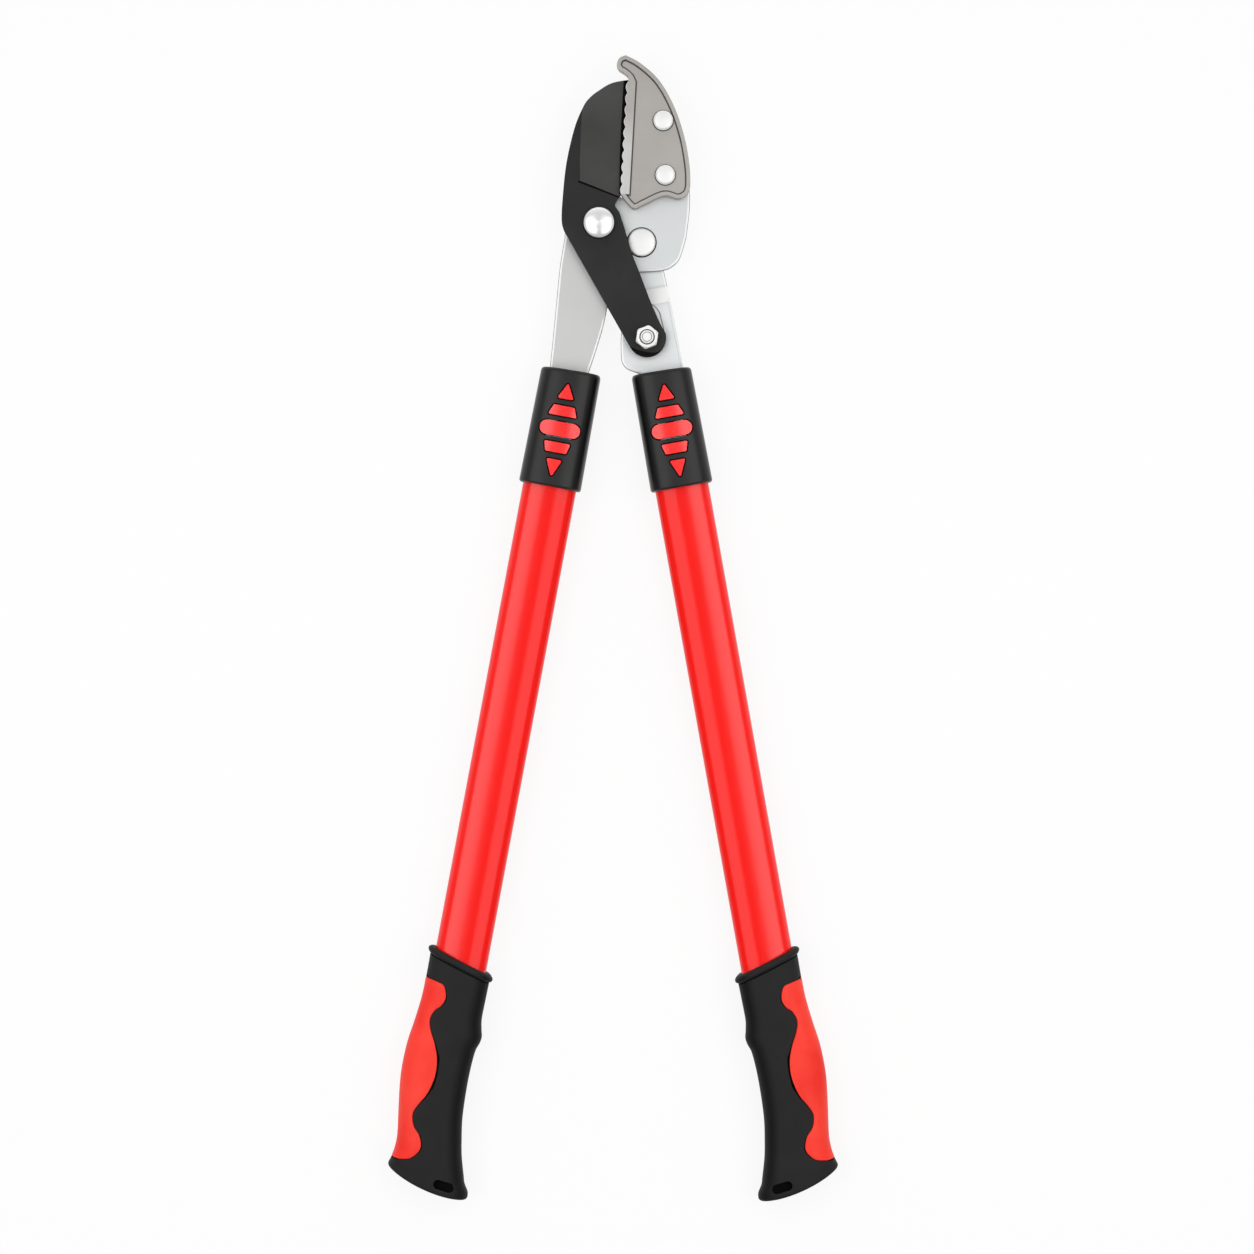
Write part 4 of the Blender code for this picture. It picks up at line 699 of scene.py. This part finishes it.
def anvil_face(scallops):
    start, end = (Vector(point) * MM for point in ANVIL_FACE)
    if not scallops:
        return [tuple(start), tuple(end)]
    count, steps = 10, 14  # scallops, and points on each
    outwards = Vector((start.y - end.y, end.x - start.x)).normalized() * 0.0012
    return [
        tuple(start.lerp(end, i / (count * steps)) + outwards * abs(sin(pi * i / steps)))
        for i in range(count * steps + 1)
    ]


def anvil_outline(scallops):
    return joined(anvil_face(scallops), curve(ANVIL_HOOK), curve(ANVIL_BACK), curve(ANVIL_FOOT))


def build_anvil():
    panel = shrunk(anvil_outline(False), 0.0023)
    for index in (0, 1):
        panel[index] = (panel[index][0] + 0.0022, panel[index][1])
    start, end = (Vector(point) for point in anvil_face(False))
    forwards = (end - start).normalized()
    into = Vector((forwards.y, -forwards.x))

    def on_face(centre):
        """How far a point lies along the scalloped face, and how far into the anvil."""
        away = Vector(centre[:2]) - start
        return away.dot(forwards), away.dot(into)

    def open_top(shape, tops):
        """The panel sunk into the top, with painted shade on its walls as a dark line round it in slot
        1.
        """
        rings = [
            ring_of(shape, shrunk(panel, by), ANVIL_TOP - drop)
            for by, drop in ((0, 0), (0.0001, 0.0001), (0.0003, RECESS), (0.0010, RECESS))
        ]
        for number, (a, b) in enumerate(zip(rings, rings[1:])):
            strip(shape, a, b, int(number > 0))
        cap(shape, [*tops, rings[0]])
        cap(shape, [rings[-1]])

    mesh = slab([anvil_outline(True)], ANVIL_LOW, ANVIL_TOP, 0.0005, Matrix(), open_top)
    for face in mesh.polygons:
        along, inside = on_face(face.center)
        in_strip = inside < 0.005 and 0.001 < along < 0.066
        if in_strip and face.normal.z > 0.3 and face.material_index == 0:
            face.material_index = 2
    # Painted highlight: the rounding along the scalloped face gets the bright look
    mark(mesh, 3, 0.15, 0.97,
         lambda centre: on_face(centre)[1] < 0.0012 and 0.0 < on_face(centre)[0] < 0.069)
    corners = [
        start - forwards * 0.009 - into * 0.0024, start - forwards * 0.009 + into * 0.0010,
        end + forwards * 0.0020 + into * 0.0010, end + forwards * 0.0020 - into * 0.0024,
    ]
    slot = prism([tuple(corner) for corner in corners], BLADE_LOW - GAP, BLADE_TOP + GAP)
    looks = ("anvil", "dark_shade_line", "anvil_strip", "bright")
    mesh = cut(mesh, [slot], looks)
    mesh.transform(AT_MAIN)
    piece("anvil_block", mesh, "frame", looks, name="anvil")
    seat = ANVIL_TOP - RECESS
    profile = [
        (0, seat + 0.0026), (0.0048, seat + 0.0026), (0.0051, seat + 0.0025), (0.0060, seat + 0.0015),
        (0.0060, seat + 0.0008, 1), (0.0064, seat + 0.0003, 1), (0.0064, seat, 1), (0.0030, seat),
        (0.0030, -PLATE_FRONT), (0.0064, -PLATE_FRONT), (0.0062, -0.0040), (0.0050, -0.0046),
        (0, -0.0047),
    ]
    for name, (x, y) in ANVIL_RIVETS.items():
        rivet = turned(profile, placed(MAIN[0] + x * MM, MAIN[1] + y * MM))
        piece(name, rivet, "frame", ("bright", "shadow_line"))


def build_frame_plate():
    outline = joined(
        curve(CARRIER_BACK), curve(CARRIER_HEEL), curve(STRAP_FILLET), curve(STRAP_INNER_EDGE),
        tang(-1, MAIN), curve(STRAP_OUTER_EDGE),
        arc((0, 0), 0.0210, radians(190.0), radians(49.0)), curve(CARRIER_FRONT), curve(CARRIER_TOP),
    )
    outlines = [outline, circle((0, 0), PIVOT_HOLE), circle(LEVER_PIVOT, PIVOT_HOLE)]
    mesh = slab(outlines, -PLATE_FRONT, PLATE_FRONT, 0.0004, AT_MAIN, chamfer=(0.0014, 0.0005))
    piece("frame_plate", mesh, "frame", ("carrier", "edge_shade", "edge"), 14.0)


def build_blade():
    outline = joined(
        scaled([BLADE_NOTCH[-1], BLADE_BACK[0]]), curve(BLADE_BACK),
        arc(TAIL_PIN, 0.0117, radians(-150.0), radians(14.0)),
        curve(BLADE_THROAT), curve(BLADE_NOTCH),
    )
    outlines = [outline, circle((0, 0), PIVOT_HOLE), circle(TAIL_PIN, TAIL_HOLE)]
    mesh = slab(outlines, BLADE_LOW, BLADE_TOP, 0.0003, AT_MAIN)
    # The grinds are cut in a frame with y up the cutting edge and x out of the blade
    foot, tip = (Vector(point) * MM for point in (BLADE_NOTCH[-1], BLADE_BACK[0]))
    lean = atan2(foot.x - tip.x, tip.y - foot.y)
    middle, half = (BLADE_LOW + BLADE_TOP) / 2, 0.0020
    place = AT_MAIN @ Matrix.Translation((foot.x, foot.y, middle)) @ Matrix.Rotation(lean, 4, "Z")
    wide, foot_line = 0.0273, -0.0024
    rise, beyond = 0.324, 0.004
    cutters = []
    for reach, start, finish, foot_cut, look in (
        (wide, half, 0.0009, foot_line, "ground"), (0.0031, 0.0010, 0.0002, -0.0009, "keen"),
    ):
        corners = [
            (0.0012 - reach, foot_cut + rise * reach), (beyond, foot_cut - rise * beyond),
            (beyond, 0.0900), (-reach, 0.0900), (-reach, 0.0400), (0.0003 - reach, 0.0200),
        ]
        slope = (start - finish) / reach
        for facing in (1, -1):
            low = [(x, y, facing * (finish - slope * x)) for x, y in corners]
            high = [(x, y - (0.0012 if number < 2 else 0.0), facing * (half + 0.0008))
                    for number, (x, y) in enumerate(corners)]
            cutters.append((loft([low, high], place), look))
    line = [
        (-wide, foot_line + rise * wide + 0.0001), (0.0010, foot_line - 0.0002),
        (0.0010, foot_line - 0.0013), (-wide, foot_line + rise * wide - 0.0010),
    ]
    for low, high in ((half - 0.0003, half + 0.0010), (-half - 0.0010, 0.0003 - half)):
        cutters.append((prism(line, low, high, place), "shadow_line"))
    # Painted shade: a black crescent along the tail's lower end, cut shallow in the edge's black look
    shade = [(TAIL_PIN[0] + x * MM, TAIL_PIN[1] + y * MM) for x, y in through(TAIL_SHADE)]
    shade += arc(TAIL_PIN, 0.0150, radians(-8.0), radians(-160.0))
    cutters.append((prism(shade, BLADE_TOP - 0.00025, BLADE_TOP + 0.001, AT_MAIN), "keen"))
    mesh = cut(mesh, cutters, ["blade"])
    looks = ("blade", "ground", "keen", "shadow_line")
    order = [LOOKS[look].name for look in looks]
    slots = [order.index(look.name) for look in mesh.materials]
    for face in mesh.polygons:
        slot = slots[face.material_index]
        face.material_index = 3 if slot == 1 and abs(face.normal.z) < 0.93 else slot
    piece("blade", mesh, "blade", looks, 12.0)


def build_pivots():
    low = BLADE_TOP + GAP
    profile = [(0.0093 * sin(pi / 2 * i / 16), low + 0.0011 + 0.0029 * cos(pi / 2 * i / 16))
               for i in range(16)]
    profile += [(0.0093, low + 0.0011, 1), (0.0097, low + 0.0003, 1), (0.0097, low, 1), (0.0050, low),
                (0.0050, -0.0116), (0.0044, -0.0122), (0, -0.0122)]
    bolt = turned(profile, AT_MAIN)
    piece("pivot_bolt", bolt, "frame", ("polished", "shadow_line"))
    rear = BOSS_TOP - 0.0040 - GAP - 0.0010 - GAP
    top = PLATE_FRONT + GAP + 0.0019
    profile = [
        (0, top), (0.0075, top), (0.0078, top - 0.0001), (0.0085, top - 0.0010),
        (0.0085, top - 0.0012, 1), (0.0092, PLATE_FRONT + 0.0003, 1), (0.0092, PLATE_FRONT, 1),
        (0.0050, PLATE_FRONT), (0.0050, rear), (0.0092, rear), (0.0088, rear - 0.0018),
        (0.0070, rear - 0.0025), (0, rear - 0.0026),
    ]
    rivet = turned(profile, AT_RIVET)
    piece("lever_rivet", rivet, "frame", ("bright", "shadow_line"))
    behind = -PLATE_FRONT - GAP - 0.0015 - GAP
    hexagon("pivot_nut", 0.0160, 0.0070, 0.0050, behind, -1, AT_MAIN, "frame")
    hexagon("tail_nut", 0.0128, 0.0065, 0.0040, low, 1, AT_TAIL, "blade")
    end = low + 0.0065 + 0.0010
    head_top = -PLATE_FRONT - GAP - 0.0012 - GAP
    thread = [(0.0040 if i % 2 else 0.0036, end - 0.0009 - i * 0.00055) for i in range(18)]
    # The ring in slot 2 at the bolt's end is painted shade
    profile = [
        (0, end), (0.0025, end), (0.0026, end - 0.0003, 2), (0.0030, end - 0.0003, 2), (0.0031, end),
        (0.0036, end), (0.0040, end - 0.0005), *thread, (0.0040, thread[-1][1] - 0.001),
        (0.0040, head_top), (0.0070, head_top), (0.0068, head_top - 0.0012), (0.0055, head_top - 0.0024),
        (0.0030, head_top - 0.0030), (0, head_top - 0.0030),
    ]
    bolt = turned(profile, AT_TAIL)
    piece("tail_bolt", bolt, "blade", ("bright", "dark_shade_line", "grey_shade_line"))


def hexagon(name, across, height, bore, low, facing, place, body):
    """A nut with rounded corners and painted shade in the countersink round its thread."""
    shape = bmesh.new()
    corner = across / sqrt(3) * 0.975
    face = across / 2 * 0.97
    turn = radians(-8.5)
    chamfer = 0.085 * across
    rings = []
    heights = 14
    for step in range(heights + 1):
        z = step / heights * height
        depth = min(z, height - z)
        limit = face + (corner - face) * sqrt(min(depth / chamfer, 1.0))
        ring = []
        for i in range(96):
            angle = 2 * pi * i / 96
            flat = across / 2 / cos((angle + pi / 6) % (pi / 3) - pi / 6)
            reach = min(flat, limit)
            ring.append((reach * cos(angle + turn), reach * sin(angle + turn)))
        rings.append((ring_of(shape, ring, z), 0))
    for radius, z, slot in (
        (bore + 0.0007, height, 1), (bore + 0.0002, height - 0.0006, 1), (bore + 0.0002, 0.0003, 0),
        (bore + 0.0006, 0.0, 0),
    ):
        rings.append((ring_of(shape, circle((0, 0), radius, 96), z), slot))
    for (a, slot), (b, _) in zip(rings, rings[1:] + rings[:1]):
        strip(shape, a, b, slot)
    flip = Matrix.Diagonal((1, 1, facing, 1))
    mesh = finished(shape, place @ Matrix.Translation((0, 0, low)) @ flip)
    piece(name, mesh, body, ("bright", "dark_shade_line"), 25.0)


def pin_path(steps=16):
    """The tail bolt's path over the lever strap as the handles open."""
    start = atan2(TAIL_PIN[1], TAIL_PIN[0])
    reach = hypot(*TAIL_PIN)
    path = []
    for step in range(steps + 1):
        share = step / steps
        angle = start + BLADE_SWING * share
        pin = (reach * cos(angle), reach * sin(angle))
        path.append(from_pivot(pin, LEVER_PIVOT, HANDLE_ANGLE + HANDLE_SWING * share))
    return path


def build_lever_strap():
    outline = joined(
        arc((0, 0), 0.0125, radians(190.0), radians(-30.0)), curve(LEVER_RIGHT),
        tang(1, LEVER, HANDLE_ANGLE)[::-1], curve(LEVER_LEFT),
    )
    slot = swept(pin_path(), TAIL_HOLE)
    half = 0.0020
    boss = BOSS_TOP - half
    first, second = (y * MM for y in LEVER_JOGGLE)

    def sag(y):
        """Height of the strap's middle, on two soft bends."""
        return boss * (1 - eased((first - y + 0.003) / (first - second + 0.006)))

    outlines = [outline, circle((0, 0), PIVOT_HOLE), slot]
    mesh = slab(outlines, -half, half, 0.0004, chamfer=(0.0013, 0.0004))
    shape = bmesh.new()
    shape.from_mesh(mesh)
    for y in [first + 0.004 - i * 0.0008 for i in range(20)]:
        geom = shape.verts[:] + shape.edges[:] + shape.faces[:]
        bmesh.ops.bisect_plane(shape, geom=geom, plane_co=(0, y, 0), plane_no=(0, 1, 0))
    shape.to_mesh(mesh)
    shape.free()
    looks = ("lever", "edge_shade", "edge", "joggle_highlight")
    step = prism(rounded(scaled(LEVER_FACE), 0.0014), half - 0.0008, 2 * half, flare=0.0007)
    mesh = cut(mesh, [step], looks)
    for vertex in mesh.vertices:
        vertex.co.z += sag(vertex.co.y)
    # The joggle's slope takes the painted highlight look
    mark(mesh, 3, 0.5, 2.0, lambda centre: 0.06 < sag(centre.y) / boss < 0.94)
    mesh.transform(AT_LEVER)
    piece("lever_strap", mesh, "right_lever", looks, 14.0)
    outlines = [swept(pin_path(), 0.0115), slot]
    # The wear plate's sides and chamfer carry painted shade as a dark line round it
    wear = slab(outlines, PLATE_FRONT + GAP, BLADE_LOW - GAP, 0.0002, AT_LEVER, chamfer=(0.0007, 0.0007))
    looks = ("lever", "dark_shade_line", "edge_shade")
    piece("slot_wear_plate", wear, "right_lever", looks, 20.0)


# Handles


def oval(width, depth_half, power, points=96):
    """A superellipse, rounder or squarer with its power."""
    ring = []
    for i in range(points):
        c, s = cos(2 * pi * i / points), sin(2 * pi * i / points)
        ring.append((width / 2 * copysign(abs(c) ** (2 / power), c),
                     depth_half * copysign(abs(s) ** (2 / power), s)))
    return ring


def collar_rings(grow=0.0):
    upper = easing(0.0016, 5)
    middle = [(COLLAR_LENGTH * i / 8, 0.0) for i in range(1, 8)]
    lower = [(COLLAR_LENGTH - s, by) for s, by in reversed(upper)]
    rings = []
    for s, by in upper + middle + lower:
        width = COLLAR_WIDTHS[0] + (COLLAR_WIDTHS[1] - COLLAR_WIDTHS[0]) * (s / COLLAR_LENGTH)
        section = oval(width + 2 * (grow - by), COLLAR_HALF + grow - by, COLLAR_POWER)
        rings.append([(x, -s, z) for x, z in section])
    return rings


def outer_section(grow=0.0):
    return oval(OUTER[0] + 2 * grow, OUTER[1] / 2 + grow, OUTER_POWER)


def laid(outline, top, bottom, place):
    """A cutter of one section along the handle, from one s to another."""
    return loft([[(x, -s, z) for x, z in outline] for s in (top, bottom)], place)


def build_collar(side_name, side):
    place = at_handle(side)
    body = f"{side_name}_outer"
    looks = (f"{side_name}_collar", "shadow_line")
    lock = place @ Matrix.Translation((0, -LOCK_PLACE, 0))
    above = COLLAR_HALF + 0.005
    # A wide mouth and a closer bore for the inner tube, and a seat for the outer one
    cutters = [
        laid(obround(*(size + loose for size in INNER)), top, bottom, place)
        for loose, top, bottom in ((0.0036, -0.005, 0.0280), (0.0012, 0.0230, 0.0470))
    ]
    cutters += [
        laid(outer_section(GAP), OUTER_TOP - GAP, 0.0750, place),
        (prism(capsule(*BUTTON, 0.0008), 0.0085, above, lock), "shadow_line"),
    ]
    for corners in COLLAR_WINDOWS.values():
        outline = shrunk(rounded(scaled(corners), 0.0008), -0.0008)
        cutters.append((prism(outline, 0.0128, above, lock), "shadow_line"))
    mesh = cut(loft(collar_rings(), place), cutters, looks[:1])
    # The top's end is drawn up, and more so on the side that faces the other handle
    deep, lift, slant = 0.0055, 0.0016, 0.026
    back = place.inverted()
    for vertex in mesh.vertices:
        local = back @ vertex.co
        if local.y > -deep:
            share = min(1 + local.y / deep, 1.0)
            vertex.co = place @ (local + Vector((0, (lift - slant * side * local.x) * share ** 2, 0)))
    darken(mesh)
    piece(f"{side_name}_collar", mesh, body, looks, 25.0)

    def raised(outline, low, high, grow):
        """A red piece that fills an outline up to just above the collar's skin."""
        block = prism(outline, low, COLLAR_HALF + high, lock)
        return cut(block, [loft(collar_rings(grow), place)], ["inlay"], "INTERSECT")

    for name, corners in COLLAR_WINDOWS.items():
        inlay = raised(rounded(scaled(corners), 0.0008), 0.0131, 0.003, 0.0002)
        piece(f"{side_name}_{name}", inlay, body, ["inlay"])
    button = raised(capsule(*BUTTON), 0.0118, 0.004, 0.0009)
    piece(f"{side_name}_lock_button", button, f"{side_name}_lock", ["inlay"])


def cast(point, width, depth):
    """Where a ray from the middle through a point meets an obround."""
    x, y = abs(point[0]), abs(point[1])
    radius = depth / 2
    reach = width / 2 - radius
    if x * radius <= reach * y:
        scale = radius / y
    else:
        both = x * x + y * y
        root = sqrt(x * x * reach * reach - both * (reach * reach - radius * radius))
        scale = (x * reach + root) / both
    return point[0] * scale, point[1] * scale


def tube_mesh(outer, inner, top, end, place):
    shape = bmesh.new()
    ease = 0.0003
    count = 24
    stations = [(top, ease), (top + ease, 0.0)]
    stations += [(top + ease + (end - top - 2 * ease) * i / count, 0.0) for i in range(1, count)]
    stations += [(end - ease, 0.0), (end, ease)]
    rings = [[shape.verts.new((x, -s, z)) for x, z in shrunk(outer, by)] for s, by in stations]
    rings += [[shape.verts.new((x, -s, z)) for x, z in inner] for s, _ in reversed(stations)]
    for a, b in zip(rings, rings[1:] + rings[:1]):
        strip(shape, a, b)
    return finished(shape, place)


def build_tubes(side_name, side, carrier):
    place = at_handle(side)
    outer = outer_section()
    inner = [cast(point, *(size - 2 * TUBE_WALL for size in OUTER)) for point in outer]
    mesh = tube_mesh(outer, inner, OUTER_TOP, OUTER_END, place)
    looks = [f"{side_name}_red_tube"]
    piece(f"{side_name}_outer_tube", mesh, f"{side_name}_outer", looks)
    bore = obround(*(size - 2 * TUBE_WALL for size in INNER))
    mesh = tube_mesh(obround(*INNER), bore, INNER_TOP, INNER_END, place)
    window = box_outline(0.0031, -0.0046, 0.0046, 0.0010)
    cutters = [
        prism(window, -0.016, -0.004, place @ Matrix.Translation((0, -LOCK_PLACE - 0.1 * number, 0)))
        for number in (1, 2, 3)
    ]
    mesh = cut(mesh, cutters, ["inner"])
    piece(f"{side_name}_inner_tube", mesh, carrier, ["inner"])


@functools.cache
def smooth_profile(keys):
    return curve(keys)


def value_at(keys, place):
    """The value of a profile at a place along it."""
    points = smooth_profile(keys)
    if place <= points[0][0]:
        return points[0][1]
    for (left, low), (right, high) in zip(points, points[1:]):
        if place <= right:
            return low + (high - low) * (place - left) / (right - left)
    return points[-1][1]


@functools.cache
def grip_lean(station):
    """How a section of the grip slants and bows: square at the inlay, slanted at its ends."""
    if station < INLAY_START:
        start = GRIP_RIM + 0.0055
        return RIM_SLANT * (1 - eased((station - start) / (INLAY_START - 0.0008 - start))), 0.0
    share = eased((station - INLAY_END - 0.0006) / (GRIP_BUTT - 0.0045 - INLAY_END))
    return BUTT_SLANT * share, BUTT_BOW * share


@functools.cache
def grip_ring(station):
    """Middle, half width and half depth of the grip's section at a station."""
    slant, bow = grip_lean(station)
    sides = []
    for keys in (GRIP_INNER, GRIP_OUTER):
        u = 0.0
        for _ in range(16):
            u = value_at(keys, station - slant * u - bow * u * u)
        sides.append(u)
    return sum(sides) / 2, (sides[1] - sides[0]) / 2, min(value_at(GRIP_HALF_DEPTH, station), 0.0150)


def grip_point(side, station, angle, proud):
    """A point of the grip's skin. Angle 0 is the outer side and 90 degrees the front."""
    centre, half, depth = grip_ring(station)
    slant, bow = grip_lean(station)
    power = 2 / GRIP_ROUNDNESS
    c, s = cos(angle), sin(angle)
    u = centre + (half + proud) * copysign(abs(c) ** power, c)
    z = min(depth + proud, GRIP_LIMIT) * copysign(abs(s) ** power, s)
    return (side * u, -(station - slant * u - bow * u * u), z)


@functools.cache
def inlay_angle(station):
    """How far round the grip the inlay reaches, from its outer side."""
    low, high = 0.0, radians(125.0)
    edge = value_at(GRIP_INLAY_EDGE, station)
    for _ in range(26):
        angle = (low + high) / 2
        if grip_point(1, station, angle, 0.0)[0] > edge:
            low = angle
        else:
            high = angle
    return max(low, radians(12.0))


def inlay_stations():
    count, fine = 110, 12
    start, end = INLAY_START, INLAY_END
    rows = [start + 0.003 * i / fine for i in range(fine)]
    rows += [start + 0.003 + (end - start - 0.006) * i / count for i in range(count)]
    return rows + [end - 0.003 + 0.003 * i / fine for i in range(fine + 1)]


def grip_stations():
    """Stations from the rim to the butt, each with how proud of the grip's profile its skin is."""
    rim, bead, groove = GRIP_RIM, 0.0046, 0.0007
    rows = [(rim + bead * i / 14, 0.0017 * sin(pi * i / 14) ** 0.8 - 0.0006 * (1 - i / 14) ** 4)
            for i in range(15)]
    rows += [(rim + bead + groove * share, -0.0006 * sin(pi * share))
             for share in (0.2, 0.5, 0.8, 1.0)]
    first = rim + bead + groove
    rows += [(first + (INLAY_START - 0.0005 - first) * i / 10, 0.0) for i in range(1, 11)]
    rows += [(station, 0.0)
             for station in (INLAY_START - 0.00045, *inlay_stations(), INLAY_END + 0.00045)]
    edge = 0.0021
    first, last = INLAY_END + 0.0005, GRIP_BUTT - edge
    rows += [(first + (last - first) * i / 12, 0.0) for i in range(13)]
    rows += [(last + edge * sin(pi / 2 * i / 8), -edge * (1 - cos(pi / 2 * i / 8)))
             for i in range(1, 9)]
    return rows


def build_grip(side_name, side):
    """The grip with a pocket, and the red inlay in it. Columns follow the inlay's wavy edge."""
    place = at_handle(side)
    body = f"{side_name}_outer"
    floor, gap = -0.0012, 0.0375  # the pocket's in metres, and radians round the inlay
    within, beyond = 26, 60
    shape = bmesh.new()
    rows = []
    for station, proud in grip_stations():
        reach = inlay_angle(min(max(station, INLAY_START), INLAY_END))
        angles = [-reach + 2 * reach * i / within for i in range(within + 1)] + [reach + gap * 0.98]
        inside = len(angles)
        first, last = reach + gap, 2 * pi - reach - gap
        angles += [first + (last - first) * i / beyond for i in range(beyond + 1)]
        angles.append(last + gap * 0.02)
        pocket = [*range(inside), len(angles) - 1]
        sunk = INLAY_START - 0.00047 < station < INLAY_END + 0.00047
        ring = [
            shape.verts.new(grip_point(side, station, angle, floor if sunk and i in pocket else proud))
            for i, angle in enumerate(angles)
        ]
        rows.append((ring, sunk, proud < 0 and station < INLAY_START - 0.005))
    for (a, sunk, grooved), (b, next_sunk, next_grooved) in zip(rows, rows[1:]):
        strip(shape, a, b, int(grooved and next_grooved))
        if sunk or next_sunk:
            for face in [face for i in pocket for face in a[i].link_faces]:
                face.material_index = 1
    shape.faces.new(rows[0][0][::-1])
    shape.faces.new(rows[-1][0])
    recess = place @ Matrix.Translation((side * HANG_PLACE[1], -HANG_PLACE[0], 0))
    recess = recess @ Matrix.Rotation(side * HANG_LEAN, 4, "Z")
    cutters = [
        laid(outer_section(GAP), 0.3400, 0.4879, place),
        (prism(capsule(*HANG_SLOT), 0.0118, 0.0180, recess, flare=0.0002), "shadow_line"),
    ]
    looks = (f"{side_name}_grip", "shadow_line")
    mesh = cut(finished(shape, place), cutters, looks)
    darken(mesh)
    piece(f"{side_name}_grip", mesh, body, looks, 40.0)

    stations = inlay_stations()
    stations = [stations[0] + 0.0001, stations[0] + 0.0003, *stations[2:-2], stations[-1] - 0.0003,
                stations[-1] - 0.0001]
    rows = []
    for number, station in enumerate(stations):
        reach = inlay_angle(station)
        from_end = min(number, len(stations) - 1 - number)
        row = []
        for i in range(within + 1):
            share = 2 * i / within - 1
            edge = max(0.0, (abs(share) - 0.93) / 0.07)
            lift = min(-0.0004 * edge * edge, (-0.0004, -0.0001, 0.0)[min(from_end, 2)])
            row.append(grip_point(side, station, reach * share, 0.0002 + lift))
        back = [grip_point(side, station, reach * (1 - 2 * i / 8), -0.0010) for i in range(9)]
        rows.append(row + back)
    piece(f"{side_name}_grip_inlay", loft(rows, place), body, ["grip_red"], 40.0)


KEPT = {
    "pivot_spacer": "zinc", "pivot_washer": "zinc", "lever_washer": "zinc", "tail_washer": "zinc",
    "tang_plug": "grey", "tang_rivet_upper": "zinc", "tang_rivet_lower": "zinc", "slide_bush": "grey",
    "guide_bush": "grey", "lock_stirrup": "shade_black", "lock_spring": "spring",
}


def dress_kept_nodes():
    for name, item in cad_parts.items():
        look = KEPT.get(name) or KEPT.get(name.removeprefix("left_").removeprefix("right_"))
        if look:
            for index in range(len(item.material_slots)):
                item.material_slots[index].material = LOOKS[look]


# Studio and camera


def build_world():
    world = bpy.data.worlds.new("studio")
    bpy.context.scene.world = world
    world.use_nodes = True
    tree = world.node_tree
    parts = node(tree, "SeparateXYZ", Vector=coordinate(tree, "Generated"))
    height, length = parts.outputs["Z"], parts.outputs["Y"]
    upwards = maths(tree, "ADD", ranged(tree, height, 0.55, 0.0, 0.05, 0.2),
                    ranged(tree, height, 0.40, 0.26, 0.3, 0.95))
    lengthways = maths(tree, "ADD", ranged(tree, length, 0.65, 1.05, -0.8, 0.4),
                       ranged(tree, length, 0.0, 1.6, 0.45, 0.9))
    filled(tree, tree.nodes["Background"], Color=(1.0, 1.0, 1.0, 1.0),
           Strength=maths(tree, "MULTIPLY", upwards, lengthways))


def build_floor():
    """A pale floor that keeps the shadow, and looks white to the camera and in reflections."""
    mesh = bpy.data.meshes.new("floor")
    size = 6.0
    mesh.from_pydata([(-size, -size, 0), (size, -size, 0), (size, size, 0), (-size, size, 0)], [],
                     [(0, 1, 2, 3)])
    floor = linked("floor", mesh)
    floor.location.z = -0.0002
    made, tree, shader = new_material("floor_white")
    filled(tree, shader, Base_Color=(0.90, 0.90, 0.90, 1.0), Roughness=0.9, Specular_IOR_Level=0.1)
    rays = node(tree, "LightPath").outputs
    seen = maths(tree, "MAXIMUM", rays["Is Camera Ray"], rays["Is Glossy Ray"])
    seen = maths(tree, "MAXIMUM", seen, rays["Is Transmission Ray"])
    mix = node(tree, "MixShader", Fac=ranged(tree, seen, 0.0, 0.875))
    tree.links.new(shader.outputs["BSDF"], mix.inputs[1])
    tree.links.new(node(tree, "Emission").outputs["Emission"], mix.inputs[2])
    filled(tree, tree.nodes["Material Output"], Surface=mix.outputs["Shader"])
    mesh.materials.append(made)


def build_lamps():
    radiance, away, lean = 1.95, 1.5, radians(29.0)
    for side_name, side in SIDES.items():
        data = bpy.data.lights.new(f"{side_name}_box", "AREA")
        data.shape = "RECTANGLE"
        data.size, data.size_y = 1.15, 1.60
        data.energy = radiance * pi * data.size * data.size_y
        item = linked(f"{side_name}_box", data)
        item.location = (side * away * sin(lean), 0, away * cos(lean))
        item.rotation_euler = (0, side * lean, 0)
        item.visible_camera = False


def build_camera():
    data = bpy.data.cameras.new("camera")
    data.sensor_width = 36.0
    data.sensor_fit = "HORIZONTAL"
    data.lens = 100.0
    camera = linked("camera", data)
    width = 1254 * 0.61 * MM  # the photograph's pixels, 0.61 mm each
    distance = width * data.lens / data.sensor_width
    camera.location = (0.0072, 0.0031, MID + distance)
    camera.rotation_euler = (0, 0, 0.0040)
    bpy.context.scene.camera = camera


build_frame_plate()
build_anvil()
build_blade()
build_pivots()
build_lever_strap()
for side_name, side in SIDES.items():
    build_tubes(side_name, side, "frame" if side < 0 else "right_lever")
    build_collar(side_name, side)
    build_grip(side_name, side)
dress_kept_nodes()
build_world()
build_floor()
build_lamps()
build_camera()
bpy.context.scene.view_settings.view_transform = "Standard"
